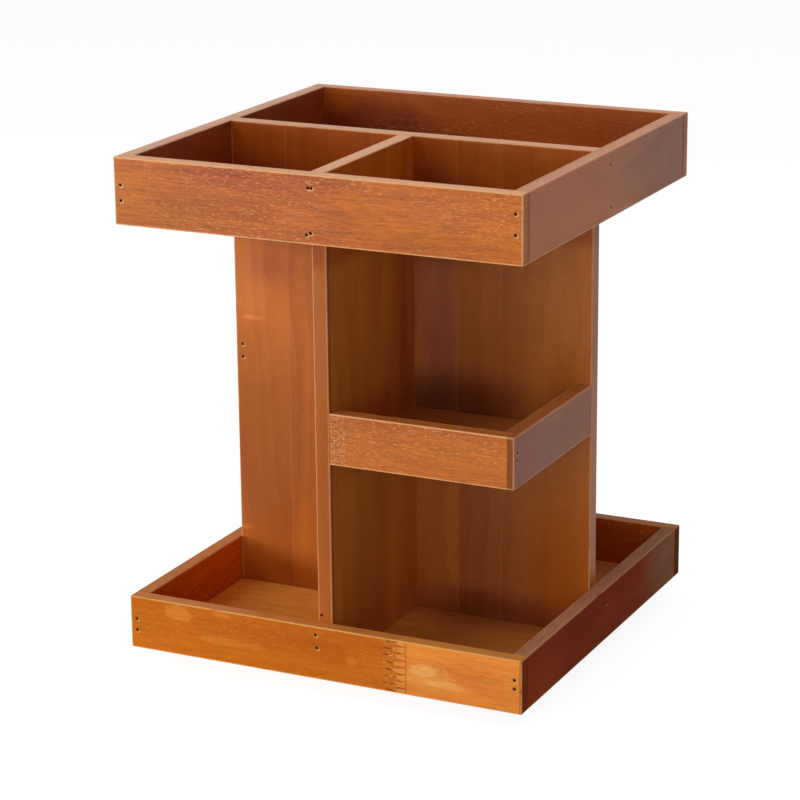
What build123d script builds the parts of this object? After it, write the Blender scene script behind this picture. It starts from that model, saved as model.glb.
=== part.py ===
from build123d import *
import math
import os

# A square wooden desk organizer that turns on a plate bearing. Millimetres, +Z up, +X right, +Y back.
# The origin is on the table under the turning axis, and the front of the organizer faces -Y.

# ---- Driving dimensions ------------------------------------------------------------------------

# Plan and board stock
WIDTH = 250.0  # base and top trays over the side walls
DEPTH = 250.0  # base and top trays over the front and back walls
WALL = 8.5  # tray walls
CROSS = 9.5  # upright board across the middle
DIVIDER = 9.0  # upright boards to the front and to the back
RAIL = 9.0  # rails of the middle trays
PANEL = 3.0  # plywood floors
ARRIS = 0.5  # sanded rounding of every board edge
DIVIDER_SHIFT = -0.5  # dividers stand this far off the middle, along X

# Heights
BASE_WALL = 32.0  # height of the base tray's walls
OPEN_HEIGHT = 223.0  # from the base tray's walls up to the top tray
TOP_WALL = 39.0  # height of the top tray's walls
RAIL_HEIGHT = 30.0  # height of the middle trays' rails
FRONT_TRAY_LEVEL = 127.0  # underside of the front middle tray above the base walls' lower edge
BACK_TRAY_LEVEL = 133.0  # underside of the back middle tray above the same edge

# Joints between boards
RECESS = 0.5  # floors lie this far above the lower edge of their walls
RABBET = 4.0  # how far a floor runs into its walls
LAP = 4.0  # end grain of a side rail left showing beside the rail let into it

# Brads, with sunk heads
BRAD_RADIUS = 0.6
BRAD_LENGTH = 22.0
SHORT_BRAD_LENGTH = 11.0  # the floors' brads
HEAD_RADIUS = 0.85
HEAD_HEIGHT = 0.8
HEAD_SINK = 1.2  # depth of a brad's head below the wood
BRAD_FIT = 0.02  # room around a brad in its hole
STRAY_HOLE_DEPTH = 4.0  # pin hole in the front divider that holds no brad

# Plate bearing
PLATE_SIDE = 76.0
PLATE_CORNER = 6.0
PLATE_SHEET = 1.0
BEARING_HEIGHT = 8.0
RACE_RADIUS = 25.0
RACE_SHELF = 5.5  # flat of the raised race, outside the ball circle
RACE_GAP = 1.6  # between the two races' flats
NECK_RADIUS = 15.5
NECK_GAP = 0.5  # between the neck and the lower plate's hole
LIP_WIDTH = 4.0  # curled lip that holds the two plates together
LIP_GAP = 0.3  # under the lower plate
BALL_RADIUS = 2.0
BALL_COUNT = 16
BALL_FIT = 0.05  # running room around a ball
CAGE_WIDTH = 6.4
CAGE_THICKNESS = 1.0
PLATE_HOLE_SPACING = 62.0  # square pattern of the screw holes
PLATE_HOLE_RADIUS = 2.1

# Screws
SCREW_RADIUS = 1.5
SCREW_FIT = 0.05
SCREW_HEAD_RADIUS = 2.9
SCREW_HEAD_HEIGHT = 1.7
SCREW_HEAD_ROUND = 0.6
CROSS_SLOT_LENGTH = 3.2
CROSS_SLOT_WIDTH = 0.8
CROSS_SLOT_DEPTH = 0.9
UPPER_SCREW_LENGTH = 10.0
LOWER_SCREW_LENGTH = 5.5

# Foot disc and its pads
DISC_RADIUS = 65.0
DISC_THICKNESS = 6.0
DISC_ROUND = 1.2
ACCESS_RADIUS = 5.0  # hole through which the upper screws are driven
PAD_RADIUS = 8.0
PAD_HEIGHT = 2.0
PAD_ROUND = 0.5
PAD_CIRCLE_RADIUS = 53.0
PAD_COUNT = 4

# ---- Levels and faces worked out from them -----------------------------------------------------

DISC_BOTTOM = PAD_HEIGHT
BEARING_BOTTOM = DISC_BOTTOM + DISC_THICKNESS
BEARING_TOP = BEARING_BOTTOM + BEARING_HEIGHT
BASE_EDGE = BEARING_TOP - RECESS  # lower edge of the base walls
TOP_EDGE = BASE_EDGE + BASE_WALL + OPEN_HEIGHT  # lower edge of the top walls
CROWN = TOP_EDGE + TOP_WALL  # top edge of everything
LEFT, RIGHT = -WIDTH / 2, WIDTH / 2
FRONT, BACK = -DEPTH / 2, DEPTH / 2
INNER_X = WIDTH / 2 - WALL  # inner faces of the side walls
INNER_Y = DEPTH / 2 - WALL  # inner faces of the front and back walls
CROSS_FACE = CROSS / 2
DIVIDER_LEFT = DIVIDER_SHIFT - DIVIDER / 2
DIVIDER_RIGHT = DIVIDER_SHIFT + DIVIDER / 2
FLOOR_RISE = RECESS + PANEL  # top of a floor above the lower edge of its walls
SCREW_CIRCLE = PLATE_HOLE_SPACING / math.sqrt(2)

nodes = {}
brads = {}


# ---- Boards ------------------------------------------------------------------------------------


def block(x, y, z):
    """Plain box between two values on each axis, given in either order."""
    sizes = [abs(pair[1] - pair[0]) for pair in (x, y, z)]
    middle = [(pair[0] + pair[1]) / 2 for pair in (x, y, z)]
    return Pos(*middle) * Box(*sizes)


def board(x, y, z):
    """Solid-wood board with sanded edges."""
    plain = block(x, y, z)
    return fillet(plain.edges(), ARRIS)


def tray_walls(prefix, bottom, height):
    """Four walls of a square tray: front and back run through, the sides stand between them."""
    z = (bottom, bottom + height)
    nodes[prefix + "_front_wall"] = board((LEFT, RIGHT), (FRONT, -INNER_Y), z)
    nodes[prefix + "_back_wall"] = board((LEFT, RIGHT), (INNER_Y, BACK), z)
    nodes[prefix + "_left_wall"] = board((LEFT, -INNER_X), (-INNER_Y, INNER_Y), z)
    nodes[prefix + "_right_wall"] = board((INNER_X, RIGHT), (-INNER_Y, INNER_Y), z)


def lay_floor(name, x, y, edge, carriers):
    """Plywood floor above a lower edge, let into the boards that carry it."""
    nodes[name] = block(x, y, (edge + RECESS, edge + FLOOR_RISE))
    room = block(x, y, (edge, edge + FLOOR_RISE))
    for carrier in carriers:
        nodes[carrier] = nodes[carrier] - room


# ---- Fasteners ---------------------------------------------------------------------------------


def stud(radius, length, start, direction):
    """Cylinder that runs from a point along a direction."""
    shape = Cylinder(radius, length, align=(Align.CENTER, Align.CENTER, Align.MIN))
    return Plane(origin=start, z_dir=direction) * shape


def drive_brad(group, boards, start, direction, length=BRAD_LENGTH):
    """One brad driven in at a point of a board's face, with its hole in each board it passes."""
    way = Vector(*direction)
    head_at = Vector(*start) + way * HEAD_SINK
    shank_at = head_at + way * HEAD_HEIGHT
    shank = length - HEAD_HEIGHT
    brad = stud(HEAD_RADIUS, HEAD_HEIGHT, head_at, way) + stud(BRAD_RADIUS, shank, shank_at, way)
    mouth = stud(HEAD_RADIUS + BRAD_FIT, HEAD_SINK + HEAD_HEIGHT, start, way)
    hole = mouth + stud(BRAD_RADIUS + BRAD_FIT, shank + BRAD_FIT, shank_at, way)
    brads.setdefault(group, []).append(brad)
    for name in boards:
        nodes[name] = nodes[name] - hole


def screw(length):
    """Pan-head screw with a cross slot, head upwards, seated at the origin."""
    head = Cylinder(SCREW_HEAD_RADIUS, SCREW_HEAD_HEIGHT, align=(Align.CENTER, Align.CENTER, Align.MIN))
    head = fillet(head.edges().sort_by(Axis.Z)[-1], SCREW_HEAD_ROUND)
    slot_at = Pos(0, 0, SCREW_HEAD_HEIGHT - CROSS_SLOT_DEPTH / 2)
    for turn in (0, 90):
        head = head - slot_at * Rot(0, 0, turn) * Box(CROSS_SLOT_LENGTH, CROSS_SLOT_WIDTH, CROSS_SLOT_DEPTH)
    shank = Cylinder(SCREW_RADIUS, length, align=(Align.CENTER, Align.CENTER, Align.MAX))
    shank = chamfer(shank.edges().sort_by(Axis.Z)[0], SCREW_RADIUS / 2)
    return head + shank


# ---- Base tray ---------------------------------------------------------------------------------

tray_walls("base", BASE_EDGE, BASE_WALL)
floor_x = INNER_X + RABBET
floor_y = INNER_Y + RABBET
base_walls = ["base_front_wall", "base_back_wall", "base_left_wall", "base_right_wall"]
lay_floor("base_floor", (-floor_x, floor_x), (-floor_y, floor_y), BASE_EDGE, base_walls)

# ---- Partition: a cross board through to the top edge, with a divider before and behind it ------

base_floor_top = BASE_EDGE + FLOOR_RISE
divider_x = (DIVIDER_LEFT, DIVIDER_RIGHT)
nodes["cross_board"] = board((-INNER_X, INNER_X), (-CROSS_FACE, CROSS_FACE), (base_floor_top, CROWN))
nodes["front_divider"] = board(divider_x, (-INNER_Y, -CROSS_FACE), (base_floor_top, CROWN))
# The back divider ends under the floor of the top tray's long back compartment.
nodes["back_divider"] = board(divider_x, (CROSS_FACE, INNER_Y), (base_floor_top, TOP_EDGE + RECESS))

# ---- Top tray ----------------------------------------------------------------------------------

tray_walls("top", TOP_EDGE, TOP_WALL)
top_sides = ["top_left_wall", "top_right_wall"]
front_floor_y = (-floor_y, -CROSS_FACE)
lay_floor("top_floor_front_left", (-floor_x, DIVIDER_LEFT), front_floor_y, TOP_EDGE,
          ["top_front_wall", "top_left_wall"])
lay_floor("top_floor_front_right", (DIVIDER_RIGHT, floor_x), front_floor_y, TOP_EDGE,
          ["top_front_wall", "top_right_wall"])
lay_floor("top_floor_back", (-floor_x, floor_x), (CROSS_FACE, floor_y), TOP_EDGE,
          ["top_back_wall"] + top_sides)

# ---- Middle trays: one in the front right bay, one in the back left bay ---------------------------


def middle_tray(prefix, end_rail, side, face, divider_face, level):
    """Open tray between a divider and the cross board; side and face are +1 or -1 along X and Y."""
    edge = BASE_EDGE + level
    z = (edge, edge + RAIL_HEIGHT)
    outer_x = side * INNER_X
    outer_y = face * INNER_Y
    inner_x = outer_x - side * RAIL
    inner_y = outer_y - face * RAIL
    lap_x = outer_x - side * LAP
    end_name = prefix + "_" + end_rail
    side_name = prefix + "_side_rail"
    nodes[end_name] = board((divider_face, lap_x), (outer_y, inner_y), z)
    side_rail = board((inner_x, outer_x), (outer_y, face * CROSS_FACE), z)
    nodes[side_name] = side_rail - block((inner_x, lap_x), (outer_y, inner_y), z)
    floor_to_x = inner_x + side * RABBET
    floor_to_y = inner_y + face * RABBET
    lay_floor(prefix + "_floor", (divider_face, floor_to_x), (floor_to_y, face * CROSS_FACE), edge,
              [end_name, side_name])


middle_tray("front_tray", "front_rail", 1, -1, DIVIDER_RIGHT, FRONT_TRAY_LEVEL)
middle_tray("back_tray", "back_rail", -1, 1, DIVIDER_LEFT, BACK_TRAY_LEVEL)

# ---- Brads in the two square trays ---------------------------------------------------------------

# Heights of the two brads in each corner above the tray's lower edge. The corners diagonally opposite
# are alike, and the brads run through the front or back wall into the middle of a side wall's end.
BASE_LEFT_CORNER = (11.0, 18.0)
BASE_RIGHT_CORNER = (14.7, 20.0)
TOP_LEFT_CORNER = (14.0, 23.0)
TOP_RIGHT_CORNER = (16.5, 28.0)
side_wall_middle = WIDTH / 2 - WALL / 2

for tray, edge, left_heights, right_heights in (
    ("base", BASE_EDGE, BASE_LEFT_CORNER, BASE_RIGHT_CORNER),
    ("top", TOP_EDGE, TOP_LEFT_CORNER, TOP_RIGHT_CORNER),
):
    for face, wall in ((-1, "front"), (1, "back")):
        for side, neighbour in ((-1, "left"), (1, "right")):
            heights = left_heights if side == face else right_heights
            for height in heights:
                drive_brad(
                    tray + "_wall_brads",
                    [tray + "_" + wall + "_wall", tray + "_" + neighbour + "_wall"],
                    (side * side_wall_middle, face * DEPTH / 2, edge + height),
                    (0, -face, 0),
                )

# Brads through the walls into the ends of the upright boards: (sideways from the board's middle,
# height above the tray's lower edge).
BASE_DIVIDER_BRADS = ((-2.1, 26.7), (-1.3, 19.0))
BASE_CROSS_BRADS = ((2.4, 22.0),)
TOP_DIVIDER_BRADS = ((-1.6, 31.5), (0.4, 31.5), (-2.9, 5.2), (-0.3, 6.4))
TOP_CROSS_BRADS = ((-1.0, 31.0), (0.6, 6.0))

for tray, edge, places in (("base", BASE_EDGE, BASE_DIVIDER_BRADS), ("top", TOP_EDGE, TOP_DIVIDER_BRADS)):
    for offset, height in places:
        drive_brad(
            tray + "_wall_brads",
            [tray + "_front_wall", "front_divider"],
            (DIVIDER_SHIFT + offset, FRONT, edge + height),
            (0, 1, 0),
        )
for offset, height in BASE_DIVIDER_BRADS:
    drive_brad(
        "base_wall_brads",
        ["base_back_wall", "back_divider"],
        (DIVIDER_SHIFT + offset, BACK, BASE_EDGE + height),
        (0, -1, 0),
    )
for tray, edge, places in (("base", BASE_EDGE, BASE_CROSS_BRADS), ("top", TOP_EDGE, TOP_CROSS_BRADS)):
    for side, wall in ((-1, "left"), (1, "right")):
        for offset, height in places:
            drive_brad(
                tray + "_wall_brads",
                [tray + "_" + wall + "_wall", "cross_board"],
                (side * WIDTH / 2, side * offset, edge + height),
                (-side, 0, 0),
            )

# A pin hole with no brad in it shows in the front divider, just over the base wall.
STRAY_HOLE_OFFSET = -2.5
STRAY_HOLE_HEIGHT = 36.0
stray_hole = stud(
    HEAD_RADIUS,
    STRAY_HOLE_DEPTH,
    (DIVIDER_SHIFT + STRAY_HOLE_OFFSET, -INNER_Y, BASE_EDGE + STRAY_HOLE_HEIGHT),
    (0, 1, 0),
)
nodes["front_divider"] = nodes["front_divider"] - stray_hole

# ---- Brads in the floors -------------------------------------------------------------------------

FLOOR_BRAD_PLACE = 70.0  # from the middle of a tray's side
PARTITION_BRAD_PLACE = 88.0  # from the middle, under the upright boards
floor_under = BASE_EDGE + RECESS
top_under = TOP_EDGE + RECESS
rabbet_x = INNER_X + RABBET / 2
rabbet_y = INNER_Y + RABBET / 2

for along in (-FLOOR_BRAD_PLACE, FLOOR_BRAD_PLACE):
    for end, face in ((-1, "front"), (1, "back")):
        start = (along, end * rabbet_y, floor_under)
        drive_brad("base_floor_brads", ["base_floor", "base_" + face + "_wall"], start, (0, 0, 1),
                   SHORT_BRAD_LENGTH)
        floor_name = "top_floor_back"
        if face == "front":
            floor_name = "top_floor_front_left" if along < 0 else "top_floor_front_right"
        start = (along, end * rabbet_y, top_under)
        drive_brad("top_floor_brads", [floor_name, "top_" + face + "_wall"], start, (0, 0, 1),
                   SHORT_BRAD_LENGTH)
    for side, wall in ((-1, "left"), (1, "right")):
        start = (side * rabbet_x, along, floor_under)
        drive_brad("base_floor_brads", ["base_floor", "base_" + wall + "_wall"], start, (0, 0, 1),
                   SHORT_BRAD_LENGTH)
        floor_name = "top_floor_back" if along > 0 else "top_floor_front_" + wall
        start = (side * rabbet_x, along, top_under)
        drive_brad("top_floor_brads", [floor_name, "top_" + wall + "_wall"], start, (0, 0, 1),
                   SHORT_BRAD_LENGTH)

for start, upright in (
    ((-PARTITION_BRAD_PLACE, 0, floor_under), "cross_board"),
    ((PARTITION_BRAD_PLACE, 0, floor_under), "cross_board"),
    ((DIVIDER_SHIFT, -PARTITION_BRAD_PLACE, floor_under), "front_divider"),
    ((DIVIDER_SHIFT, PARTITION_BRAD_PLACE, floor_under), "back_divider"),
):
    drive_brad("base_floor_brads", ["base_floor", upright], start, (0, 0, 1))

# Down through the back compartment's floor into the back divider's top end.
BACK_FLOOR_BRADS = (40.0, 95.0)  # from the middle, along Y
for place in BACK_FLOOR_BRADS:
    start = (DIVIDER_SHIFT, place, TOP_EDGE + FLOOR_RISE)
    drive_brad("top_floor_brads", ["top_floor_back", "back_divider"], start, (0, 0, -1))

# ---- Brads in the partition and the middle trays ---------------------------------------------------

# Through the cross board into the front divider, before the back divider covers their heads.
PARTITION_BRADS = (55.0, 150.0, 235.0)
for height in PARTITION_BRADS:
    start = (DIVIDER_SHIFT, CROSS_FACE, BASE_EDGE + height)
    drive_brad("partition_brads", ["cross_board", "front_divider"], start, (0, -1, 0))

TRAY_CORNER_BRADS = (15.5, 20.0)  # through a side rail into the end of the rail let into it
TRAY_CROSS_BRADS = (15.0, 23.0)  # through the cross board into a side rail
TRAY_DIVIDER_BRADS = (9.0, 22.0)  # through a divider into the other rail
TRAY_FLOOR_BRAD_PLACE = 60.0

for prefix, end_rail, divider, side, face, level in (
    ("front_tray", "front_rail", "front_divider", 1, -1, FRONT_TRAY_LEVEL),
    ("back_tray", "back_rail", "back_divider", -1, 1, BACK_TRAY_LEVEL),
):
    group = prefix + "_brads"
    end_name = prefix + "_" + end_rail
    side_name = prefix + "_side_rail"
    edge = BASE_EDGE + level
    side_middle = side * (INNER_X - RAIL / 2)
    end_middle = face * (INNER_Y - RAIL / 2)
    for height in TRAY_CORNER_BRADS:
        start = (side * INNER_X, end_middle, edge + height)
        drive_brad(group, [side_name, end_name], start, (-side, 0, 0))
    for height in TRAY_CROSS_BRADS:
        start = (side_middle, -face * CROSS_FACE, edge + height)
        drive_brad(group, ["cross_board", side_name], start, (0, face, 0))
    for height in TRAY_DIVIDER_BRADS:
        start = (DIVIDER_SHIFT - side * DIVIDER / 2, end_middle, edge + height)
        drive_brad(group, [divider, end_name], start, (side, 0, 0))
    end_rabbet = face * (INNER_Y - RAIL + RABBET / 2)
    side_rabbet = side * (INNER_X - RAIL + RABBET / 2)
    start = (side * TRAY_FLOOR_BRAD_PLACE, end_rabbet, edge + RECESS)
    drive_brad(group, [prefix + "_floor", end_name], start, (0, 0, 1), SHORT_BRAD_LENGTH)
    start = (side_rabbet, face * TRAY_FLOOR_BRAD_PLACE, edge + RECESS)
    drive_brad(group, [prefix + "_floor", side_name], start, (0, 0, 1), SHORT_BRAD_LENGTH)

# ---- Plate bearing ---------------------------------------------------------------------------------

bearing_middle = BEARING_HEIGHT / 2
shelf_top = bearing_middle - RACE_GAP / 2
shelf_bottom = shelf_top - PLATE_SHEET
step_radius = RACE_RADIUS + RACE_SHELF
lower_hole_radius = NECK_RADIUS + NECK_GAP
groove_radius = BALL_RADIUS + BALL_FIT


def groove_half_width(radius, level):
    """Half the width, at a level, of a round groove about the ball circle."""
    return math.sqrt(radius**2 - (bearing_middle - level) ** 2)


def race_section(inner_radius):
    """Pressed race of the lower plate, in the XZ plane: a flat shelf with a round groove and a step."""
    top_half = groove_half_width(groove_radius, shelf_top)
    back_radius = groove_radius + PLATE_SHEET
    back_half = groove_half_width(back_radius, shelf_bottom)
    outer = step_radius + PLATE_SHEET
    with BuildSketch(Plane.XZ) as sketch:
        with BuildLine():
            Polyline(
                (RACE_RADIUS + back_half, shelf_bottom),
                (step_radius, shelf_bottom),
                (step_radius, 0),
                (outer, 0),
                (outer, shelf_top),
                (RACE_RADIUS + top_half, shelf_top),
            )
            ThreePointArc(
                (RACE_RADIUS + top_half, shelf_top),
                (RACE_RADIUS, bearing_middle - groove_radius),
                (RACE_RADIUS - top_half, shelf_top),
            )
            Polyline(
                (RACE_RADIUS - top_half, shelf_top),
                (inner_radius, shelf_top),
                (inner_radius, shelf_bottom),
                (RACE_RADIUS - back_half, shelf_bottom),
            )
            ThreePointArc(
                (RACE_RADIUS - back_half, shelf_bottom),
                (RACE_RADIUS, bearing_middle - back_radius),
                (RACE_RADIUS + back_half, shelf_bottom),
            )
        make_face()
    return sketch.sketch


def plate(inner_radius):
    """Bearing plate, flange down, with its race and screw holes; its flange lies at Z = 0."""
    flange = extrude(RectangleRounded(PLATE_SIDE, PLATE_SIDE, PLATE_CORNER), PLATE_SHEET)
    flange = flange - stud(step_radius + PLATE_SHEET / 2, PLATE_SHEET, (0, 0, 0), (0, 0, 1))
    shape = flange + revolve(race_section(inner_radius), Axis.Z)
    for place in GridLocations(PLATE_HOLE_SPACING, PLATE_HOLE_SPACING, 2, 2):
        at = place.position
        shape = shape - stud(PLATE_HOLE_RADIUS, PLATE_SHEET, (at.X, at.Y, 0), (0, 0, 1))
    return shape


def ring(inner, outer, low, high):
    """Flat ring about the axis between two levels."""
    solid = stud(outer, high - low, (0, 0, low), (0, 0, 1))
    return solid - stud(inner, high - low, (0, 0, low), (0, 0, 1))


at_bearing = Pos(0, 0, BEARING_BOTTOM)
lower_plate = plate(lower_hole_radius)

# The upper plate is the lower one turned over, with a neck and a curled lip that hook under it. It is
# turned by an eighth, so that its screws come under the upright boards.
turned_over = Pos(0, 0, BEARING_HEIGHT) * Rot(180, 0, 45)
neck_inner = NECK_RADIUS - PLATE_SHEET
lip_top = shelf_bottom - LIP_GAP
lip_bottom = lip_top - PLATE_SHEET
neck_top = BEARING_HEIGHT - shelf_bottom
neck = ring(neck_inner, NECK_RADIUS, lip_bottom, neck_top)
lip = ring(neck_inner, NECK_RADIUS + LIP_WIDTH, lip_bottom, lip_top)
upper_plate = turned_over * plate(neck_inner) + neck + lip

ball_circle = [
    (RACE_RADIUS * math.cos(turn), RACE_RADIUS * math.sin(turn))
    for turn in (2 * math.pi * step / BALL_COUNT for step in range(BALL_COUNT))
]
cage = ring(
    RACE_RADIUS - CAGE_WIDTH / 2,
    RACE_RADIUS + CAGE_WIDTH / 2,
    bearing_middle - CAGE_THICKNESS / 2,
    bearing_middle + CAGE_THICKNESS / 2,
)
for x, y in ball_circle:
    low = bearing_middle - CAGE_THICKNESS / 2
    cage = cage - stud(BALL_RADIUS + BALL_FIT, CAGE_THICKNESS, (x, y, low), (0, 0, 1))

nodes["bearing_lower_plate"] = at_bearing * lower_plate
nodes["bearing_upper_plate"] = at_bearing * upper_plate
nodes["ball_cage"] = at_bearing * cage
nodes["bearing_balls"] = Compound([at_bearing * Pos(x, y, bearing_middle) * Sphere(BALL_RADIUS)
                                   for x, y in ball_circle])

# ---- Foot disc, pads and screws ----------------------------------------------------------------------

disc = stud(DISC_RADIUS, DISC_THICKNESS, (0, 0, DISC_BOTTOM), (0, 0, 1))
disc = fillet(disc.edges(), DISC_ROUND)
disc = disc - stud(ACCESS_RADIUS, DISC_THICKNESS, (0, SCREW_CIRCLE, DISC_BOTTOM), (0, 0, 1))

lower_screws = []
for place in GridLocations(PLATE_HOLE_SPACING, PLATE_HOLE_SPACING, 2, 2):
    at = place.position
    seat = BEARING_BOTTOM + PLATE_SHEET
    lower_screws.append(Pos(at.X, at.Y, seat) * screw(LOWER_SCREW_LENGTH))
    pilot = LOWER_SCREW_LENGTH - PLATE_SHEET + SCREW_FIT
    disc = disc - stud(SCREW_RADIUS + SCREW_FIT, pilot, (at.X, at.Y, BEARING_BOTTOM), (0, 0, -1))
nodes["foot_disc"] = disc
nodes["bearing_lower_screws"] = Compound(lower_screws)

upper_screws = []
for turn, upright in (
    (0, "cross_board"),
    (180, "cross_board"),
    (-90, "front_divider"),
    (90, "back_divider"),
):
    x = SCREW_CIRCLE * math.cos(math.radians(turn))
    y = SCREW_CIRCLE * math.sin(math.radians(turn))
    seat = BEARING_TOP - PLATE_SHEET
    upper_screws.append(Pos(x, y, seat) * Rot(180, 0, 0) * screw(UPPER_SCREW_LENGTH))
    pilot = stud(SCREW_RADIUS + SCREW_FIT, UPPER_SCREW_LENGTH + SCREW_FIT, (x, y, seat), (0, 0, 1))
    for name in ("base_floor", upright):
        nodes[name] = nodes[name] - pilot
nodes["bearing_upper_screws"] = Compound(upper_screws)

pad = stud(PAD_RADIUS, PAD_HEIGHT, (0, 0, 0), (0, 0, 1))
pad = fillet(pad.edges().sort_by(Axis.Z)[0], PAD_ROUND)
nodes["rubber_pads"] = Compound([
    place * pad for place in PolarLocations(PAD_CIRCLE_RADIUS, PAD_COUNT, start_angle=180 / PAD_COUNT)
])

# ---- One STEP file for each node -----------------------------------------------------------------------

for group, solids in brads.items():
    nodes[group] = Compound(solids)

os.makedirs("parts", exist_ok=True)
for name, shape in nodes.items():
    export_step(shape, "parts/" + name + ".step")
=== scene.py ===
"""Looks of a square wooden desk organizer on a plate bearing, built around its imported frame."""

import logging
import math
from dataclasses import dataclass, field, replace
from enum import Enum
from functools import cached_property
from typing import Union

import bpy
from mathutils import Matrix, Vector


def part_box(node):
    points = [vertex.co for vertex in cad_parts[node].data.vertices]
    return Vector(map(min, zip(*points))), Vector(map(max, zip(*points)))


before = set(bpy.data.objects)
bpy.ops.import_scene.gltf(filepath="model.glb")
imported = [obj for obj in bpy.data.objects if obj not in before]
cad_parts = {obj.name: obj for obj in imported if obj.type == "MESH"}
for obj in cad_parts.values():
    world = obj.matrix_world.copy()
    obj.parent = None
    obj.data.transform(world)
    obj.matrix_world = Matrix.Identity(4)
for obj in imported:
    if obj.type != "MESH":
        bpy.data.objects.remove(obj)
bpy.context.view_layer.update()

LOG = logging.getLogger("organizer")
MM = 0.001
BUTT_ALLOWANCE = 6.0 * MM
ORIGIN = (0.0, 0.0, 0.0)
WHITE = (1.0, 1.0, 1.0)

Rgb = tuple[float, float, float]
Socket = bpy.types.NodeSocket
Sockets = dict[str, Socket]
Feed = Union[float, tuple, Vector, Socket]


# ---- Node trees ----------------------------------------------------------------------------------


class Graph:
    """A node tree being wired, with short ways to add and link nodes."""

    def __init__(self, tree: bpy.types.NodeTree) -> None:
        """Start on an emptied tree.

        Args:
            tree: The node tree of a material, a world or a group.
        """
        self.tree = tree
        self.given: Sockets = {}
        tree.nodes.clear()

    def __getitem__(self, name: str) -> Socket:
        """Take one of the inputs that the tree is given as a group."""
        return self.given[name]

    def feed(self, socket: Socket, value: Feed) -> None:
        """Link a socket to an input, or set the input to a constant.

        Args:
            socket: The input that is fed.
            value: Another node's output, a number, a vector or a colour.
        """
        if isinstance(value, bpy.types.NodeSocket):
            self.tree.links.new(value, socket)
        elif socket.type == "RGBA" and len(value) == 3:
            socket.default_value = (*value, 1.0)
        else:
            socket.default_value = value

    def add(self, kind: str, feeds: dict | None = None, **settings: object) -> bpy.types.Node:
        """Add a shader node.

        Args:
            kind: The node's type without its ShaderNode prefix.
            feeds: What goes into each input, by its name or its number.
            **settings: The node's own options.

        Returns:
            The new node.
        """
        node = self.tree.nodes.new("ShaderNode" + kind)
        for option, value in settings.items():
            setattr(node, option, value)
        for key, value in (feeds or {}).items():
            self.feed(node.inputs[key], value)
        return node

    def math(self, operation: str, *terms: Feed, clamp: bool = False) -> Socket:
        """Work out one number from others, two at a time from the left.

        Args:
            operation: The Math node's operation.
            *terms: Its terms, in order.
            clamp: Whether the result is held between 0 and 1.

        Returns:
            The result.
        """
        feeds, rest = dict(enumerate(terms[:2])), terms[2:]
        held = clamp and not rest
        result = self.add("Math", feeds, operation=operation, use_clamp=held).outputs[0]
        return self.math(operation, result, *rest, clamp=clamp) if rest else result

    def times(self, *terms: Feed, clamp: bool = False) -> Socket:
        """Multiply numbers."""
        return self.math("MULTIPLY", *terms, clamp=clamp)

    def plus(self, *terms: Feed, clamp: bool = False) -> Socket:
        """Add numbers up."""
        return self.math("ADD", *terms, clamp=clamp)

    def minus(self, *terms: Feed) -> Socket:
        """Take every later number from the first."""
        return self.math("SUBTRACT", *terms)

    def ratio(self, number: Feed, unit: Feed) -> Socket:
        """Divide a number by another."""
        return self.math("DIVIDE", number, unit)

    def most(self, *terms: Feed) -> Socket:
        """Find the largest number."""
        return self.math("MAXIMUM", *terms)

    def least(self, *terms: Feed) -> Socket:
        """Find the smallest number."""
        return self.math("MINIMUM", *terms)

    def gap(self, first: Feed, second: Feed) -> Socket:
        """Find how far apart two numbers are."""
        return self.math("ABSOLUTE", self.minus(first, second))

    def shift(self, place: Feed, by: Feed) -> Socket:
        """Move a place."""
        return self.vector("ADD", place, by)

    def weigh(self, masks: Sockets, shares: dict[str, float]) -> list[Socket]:
        """Take each mask at its share."""
        return [self.times(masks[name], share) for name, share in shares.items()]

    def vector(self, operation: str, *terms: Feed) -> Socket:
        """Work out a vector, or a length, from vectors.

        Args:
            operation: The Vector Math node's operation.
            *terms: Its terms, in order.

        Returns:
            The vector, or the number where the operation gives one.
        """
        node = self.add("VectorMath", dict(enumerate(terms)), operation=operation)
        gives_number = operation in ("LENGTH", "DISTANCE", "DOT_PRODUCT")
        return node.outputs["Value" if gives_number else "Vector"]

    def combine(self, x: Feed, y: Feed, z: Feed) -> Socket:
        """Make a vector of three numbers."""
        return self.add("CombineXYZ", {0: x, 1: y, 2: z}).outputs[0]

    def split(self, vector: Feed) -> tuple[Socket, Socket, Socket]:
        """Take a vector apart into its three numbers."""
        outputs = self.add("SeparateXYZ", {0: vector}).outputs
        return outputs[0], outputs[1], outputs[2]

    def spread(
        self, value: Feed, low: Feed, high: Feed, to_low: float = 0.0, to_high: float = 1.0
    ) -> Socket:
        """Ease a value from one range into another, held at both ends.

        Args:
            value: The number that is mapped.
            low: Where the result is to_low.
            high: Where the result is to_high.
            to_low: The result at low.
            to_high: The result at high.

        Returns:
            The mapped number.
        """
        feeds = {0: value, 1: low, 2: high, 3: to_low, 4: to_high}
        return self.add("MapRange", feeds, interpolation_type="SMOOTHSTEP").outputs[0]

    def fall(self, value: Feed, low: Feed, high: Feed) -> Socket:
        """Ease from 1 where a value is low down to 0 where it is high."""
        return self.spread(value, low, high, 1.0, 0.0)

    def spots(self, low: float, high: float, *grain: Feed) -> Socket:
        """Pick out the places where noise is high, from none at low to all at high."""
        return self.spread(self.noise(*grain), low, high)

    def mix(self, share: Feed, first: Feed, second: Feed, blend: str = "MIX") -> Socket:
        """Blend two colours.

        Args:
            share: How much of the second shows.
            first: The colour underneath.
            second: The colour on top.
            blend: The Mix node's way of blending.

        Returns:
            The blended colour.
        """
        feeds = {0: share, 6: first, 7: second}
        return self.add("Mix", feeds, data_type="RGBA", blend_type=blend).outputs[2]

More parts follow.
